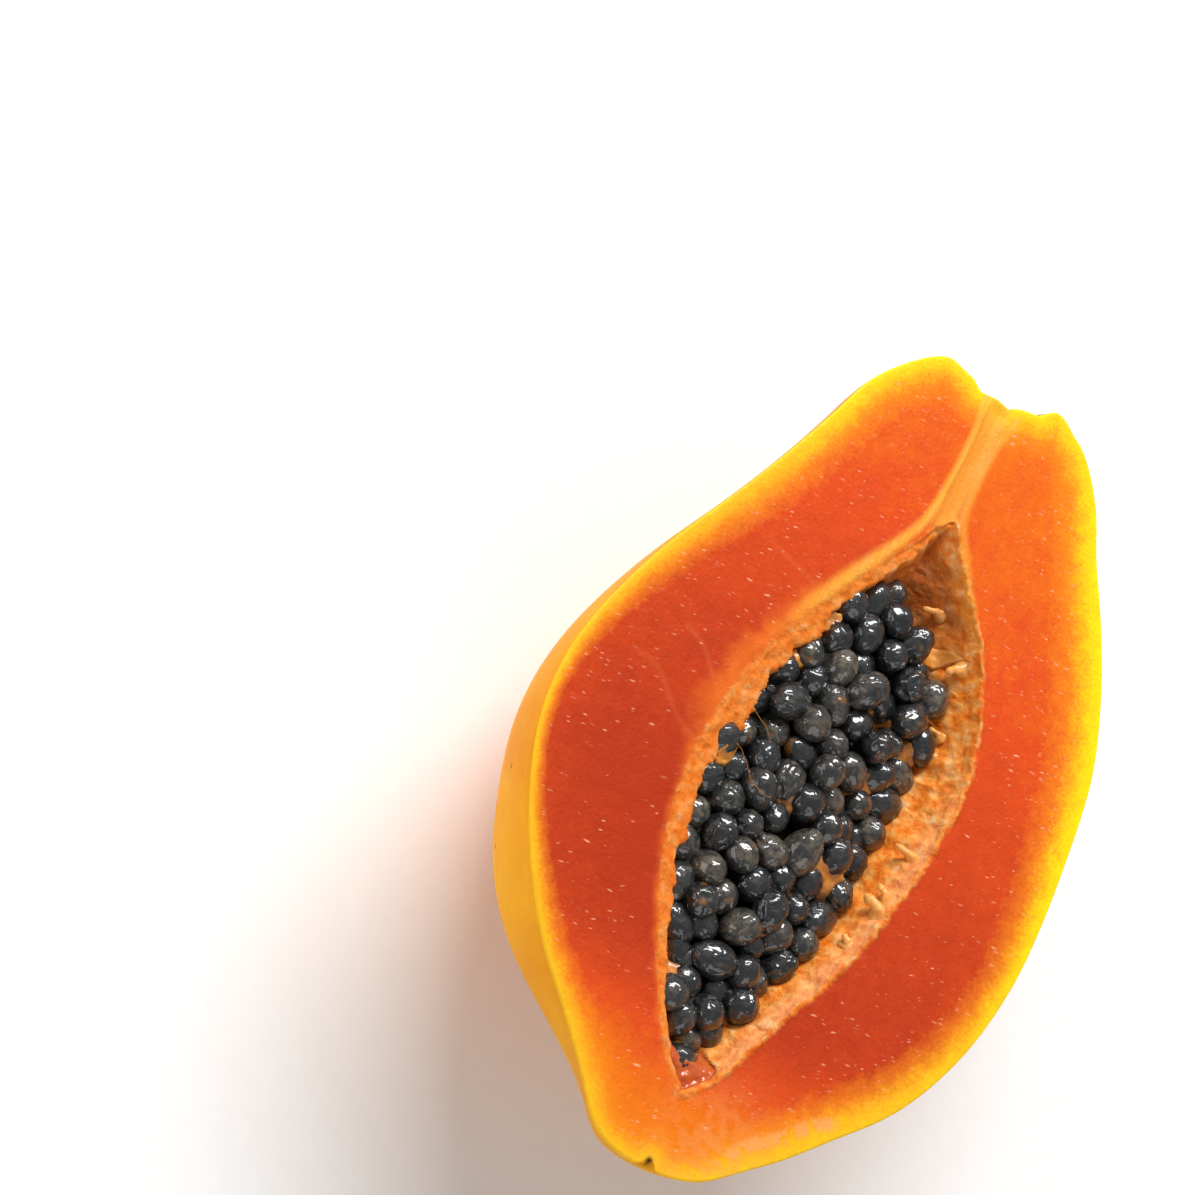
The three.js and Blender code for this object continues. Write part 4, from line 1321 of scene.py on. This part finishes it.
class PapayaFruitSettings(bpy.types.PropertyGroup):
    """The halved fruit: how its cut edges and lining are shaped, and its colours."""

    rim_rounding: size_property(
        "Rim rounding", 0.4, 0.1, 1, "Radius of the knife-cut edge between skin and face")
    right_lip: size_property("Right lip", 0.6, 0.2, 2, "Rounding of the cavity's edge on the right")
    left_lip: size_property("Left lip", 0.6, 0.2, 3, "Rounding of the cavity's soft edge on the left")
    lining_relief: size_property(
        "Lining relief", 0.7, 0, 2, "Height of the folds in the fibrous cavity lining")
    skin_yellow: colour_property("Skin yellow", "#ffb31e", "Ripe yellow of the skin")
    skin_amber: colour_property("Skin amber", "#e8860f", "Darker blotches and pores of the skin")
    skin_olive: colour_property("Skin olive", "#d8a824", "Skin round the blossom end")
    rim_yellow: colour_property("Rim yellow", "#ffc424", "Cut rind on the left")
    # Rim lemon is partly painted light on the lit right side of the rind.
    rim_lemon: colour_property("Rim lemon", "#ffea14", "Cut rind on the right")
    flesh_orange: colour_property("Flesh orange", "#f27a18", "Flesh at both ends of the fruit")
    flesh_red: colour_property("Flesh red", "#e0501f", "Flesh round the cavity")
    # Deep flesh is reached partly as painted shade on the left side, away from the light.
    flesh_deep: colour_property("Deep flesh", "#b93a1c", "Ripest flesh, left of the cavity")
    lip_orange: colour_property("Lip orange", "#f2782a", "Soft flesh at the cavity's left edge")
    # Deep lining is the lining's browner tint together with painted shade deep in the cavity.
    lining_tint_and_shade: colour_property("Deep lining", "#b05e28", "Cavity lining deep inside")


class PapayaSeedSettings(bpy.types.PropertyGroup):
    """Seeds and pulp: their colours."""

    coat_black: colour_property("Seed coat", "#0d1318", "Darkest tone of the seed coats")
    jelly_brown: colour_property("Seed jelly", "#685e50", "Palest tone seen through the jelly")
    pulp_amber: colour_property("Pulp amber", "#dc8c2c", "Thick pulp between the seeds")
    pulp_pale: colour_property("Pulp pale", "#f9ae55", "Palest pulp and the stubs on the lining")


class PapayaStageSettings(bpy.types.PropertyGroup):
    """Floor, lights and sky."""

    floor_size: FloatProperty(
        name="Floor size", description="Side of the square floor",
        default=4.0, min=0.5, max=10, subtype="DISTANCE", unit="LENGTH")
    key_power: FloatProperty(
        name="Key light", description="Power of the large soft light at the stem end, in watts",
        default=17, min=0, max=100)
    fill_power: FloatProperty(
        name="Fill light", description="Power of the wide light on the skin side, in watts",
        default=4, min=0, max=100)
    low_power: FloatProperty(
        name="Low light", description="Power of the weak light past the blossom end, in watts",
        default=3, min=0, max=100)
    sky: FloatProperty(
        name="Sky", description="Strength of the pale light from all round",
        default=0.3, min=0, max=5)


# --- Operators ----------------------------------------------------------------------------------


class PAPAYA_OT_fruit(bpy.types.Operator):
    """Build the halved fruit: skin, cut face and cavity as one closed surface"""

    bl_idname = "papaya.fruit"
    bl_label = "Halved Fruit"

    def execute(self, context):
        settings = context.scene.papaya_fruit
        points, faces, slots, values = fruit_mesh(settings)
        materials = [skin_material(settings), flesh_material(settings)]
        fruit = mesh_piece("halved_fruit", points, faces, materials, values, slots)
        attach(fruit, "root")
        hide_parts("papaya_half")
        return {"FINISHED"}


class PAPAYA_OT_seeds(bpy.types.Operator):
    """Build the heap of seeds, with more of them in the gaps underneath"""

    bl_idname = "papaya.seeds"
    bl_label = "Seeds"

    def execute(self, context):
        material = seed_material(context.scene.papaya_seeds)
        draw = Draws(SEED_DRAW_START)
        gather = seed_forms(seed_places(draw, SEED_COUNT), draw, SEED_FINENESS)
        top = gathered_piece("seeds", gather, material, "seed_tone")
        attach(top, "root")
        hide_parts("seeds")

        places = seed_places(draw, DEEP_SEED_COUNT, DEEP_SEED_SINK)
        gather = seed_forms(places, draw, DEEP_SEED_FINENESS)
        deep = gathered_piece("deep_seeds", gather, material, "seed_tone")
        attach(deep, "root")
        return {"FINISHED"}


class PAPAYA_OT_pulp(bpy.types.Operator):
    """Build the stubs, torn threads and amber pulp among the seeds"""

    bl_idname = "papaya.pulp"
    bl_label = "Stubs and Pulp"

    def execute(self, context):
        material = pulp_material(context.scene.papaya_seeds)
        gather = [stub(*place, number) for number, place in enumerate(STUBS)]
        for number, (route, height) in enumerate(THREADS):
            line = spread_evenly(outline_curve(route, 8), 30)
            path = np.column_stack([line, np.full(len(line), height)])
            path += THREAD_SWAY * wobble(path, THREAD_SWAY_SIZE, 2, 50 + number)
            points, faces = tube(path, np.full(len(path), THREAD_RADIUS), THREAD_SIDES)
            gather.append((points, faces, THREAD_TONE))
        stubs = gathered_piece("stubs_and_threads", gather, material, "pulp_tone")
        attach(stubs, "root")

        tops = seed_tops(seed_places(Draws(SEED_DRAW_START), SEED_COUNT))
        gather = [pulp_film(tops, place, number) for number, place in enumerate(PULP)]
        pulp = gathered_piece("pulp", gather, material, "pulp_tone")
        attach(pulp, "root")
        return {"FINISHED"}


class PAPAYA_OT_stage(bpy.types.Operator):
    """Set up the pale floor, the soft lights and the camera"""

    bl_idname = "papaya.stage"
    bl_label = "Stage"

    def execute(self, context):
        scene = context.scene
        settings = scene.papaya_stage
        scene.view_settings.view_transform = "Standard"
        self.lay_floor(scene, settings)
        self.light_sky(scene, settings)
        self.hang_lamp(scene, "key", KEY_WAY, KEY_SIZE, settings.key_power)
        self.hang_lamp(scene, "fill", FILL_WAY, FILL_SIZE, settings.fill_power)
        self.hang_lamp(scene, "low", LOW_WAY, LOW_SIZE, settings.low_power)
        self.place_camera(scene)
        return {"FINISHED"}

    def hang_lamp(self, scene, name, way, size, power):
        """A soft rectangular lamp that far from the fruit, turned towards it."""
        lamp = bpy.data.lights.new(name, "AREA")
        lamp.shape = "RECTANGLE"
        lamp.size, lamp.size_y = size
        lamp.energy = power
        holder = bpy.data.objects.new(name, lamp)
        scene.collection.objects.link(holder)
        way = Vector(way).normalized()
        holder.location = LAMP_DISTANCE * way + Vector((0, 0, CAD_BOX[1][2]))
        holder.rotation_euler = way.to_track_quat("Z", "Y").to_euler()

    def lay_floor(self, scene, settings):
        half = settings.floor_size / 2
        mesh = bpy.data.meshes.new("floor")
        corners = [(-half, -half, 0), (half, -half, 0), (half, half, 0), (-half, half, 0)]
        mesh.from_pydata(corners, [], [(0, 1, 2, 3)])
        mesh.materials.append(floor_material())
        floor = bpy.data.objects.new("floor", mesh)
        scene.collection.objects.link(floor)

    def light_sky(self, scene, settings):
        world = bpy.data.worlds.new("pale_sky")
        world.use_nodes = True
        scene.world = world
        sky = world.node_tree.nodes["Background"]
        sky.inputs["Color"].default_value = (*linear("#fbfbfa"), 1)
        sky.inputs["Strength"].default_value = settings.sky

    def place_camera(self, scene):
        lens = bpy.data.cameras.new("camera")
        lens.lens, lens.sensor_width = CAMERA_LENS, SENSOR
        camera = bpy.data.objects.new("camera", lens)
        scene.collection.objects.link(camera)
        place = Vector((np.array(CAMERA_PLACE) + fruit_place()) * MM)
        aim = Vector((np.array(CAMERA_AIM) + fruit_place()) * MM)
        look = (aim - place).to_track_quat("-Z", "Y").to_matrix()
        roll = Matrix.Rotation(math.radians(CAMERA_ROLL), 3, "Z")
        camera.matrix_world = Matrix.Translation(place) @ (look @ roll).to_4x4()
        scene.camera = camera


class PAPAYA_PT_panel(bpy.types.Panel):
    """Lists the steps that build the halved papaya."""

    bl_label = "Papaya"
    bl_idname = "PAPAYA_PT_panel"
    bl_space_type = "VIEW_3D"
    bl_region_type = "UI"
    bl_category = "Papaya"

    def draw(self, context):
        scene = context.scene
        for settings in (scene.papaya_fruit, scene.papaya_seeds, scene.papaya_stage):
            for key in settings.bl_rna.properties.keys():
                if key not in ("rna_type", "name"):
                    self.layout.prop(settings, key)
        for operator in OPERATORS:
            self.layout.operator(operator.bl_idname)


OPERATORS = (PAPAYA_OT_fruit, PAPAYA_OT_seeds, PAPAYA_OT_pulp, PAPAYA_OT_stage)
CLASSES = (
    PapayaFruitSettings, PapayaSeedSettings, PapayaStageSettings, *OPERATORS, PAPAYA_PT_panel)


def register():
    for item in CLASSES:
        bpy.utils.register_class(item)
    bpy.types.Scene.papaya_fruit = PointerProperty(type=PapayaFruitSettings)
    bpy.types.Scene.papaya_seeds = PointerProperty(type=PapayaSeedSettings)
    bpy.types.Scene.papaya_stage = PointerProperty(type=PapayaStageSettings)


def unregister():
    del bpy.types.Scene.papaya_stage
    del bpy.types.Scene.papaya_seeds
    del bpy.types.Scene.papaya_fruit
    for item in reversed(CLASSES):
        bpy.utils.unregister_class(item)


def main():
    register()
    bpy.ops.papaya.fruit()
    bpy.ops.papaya.seeds()
    bpy.ops.papaya.pulp()
    bpy.ops.papaya.stage()


if __name__ == "__main__":
    main()
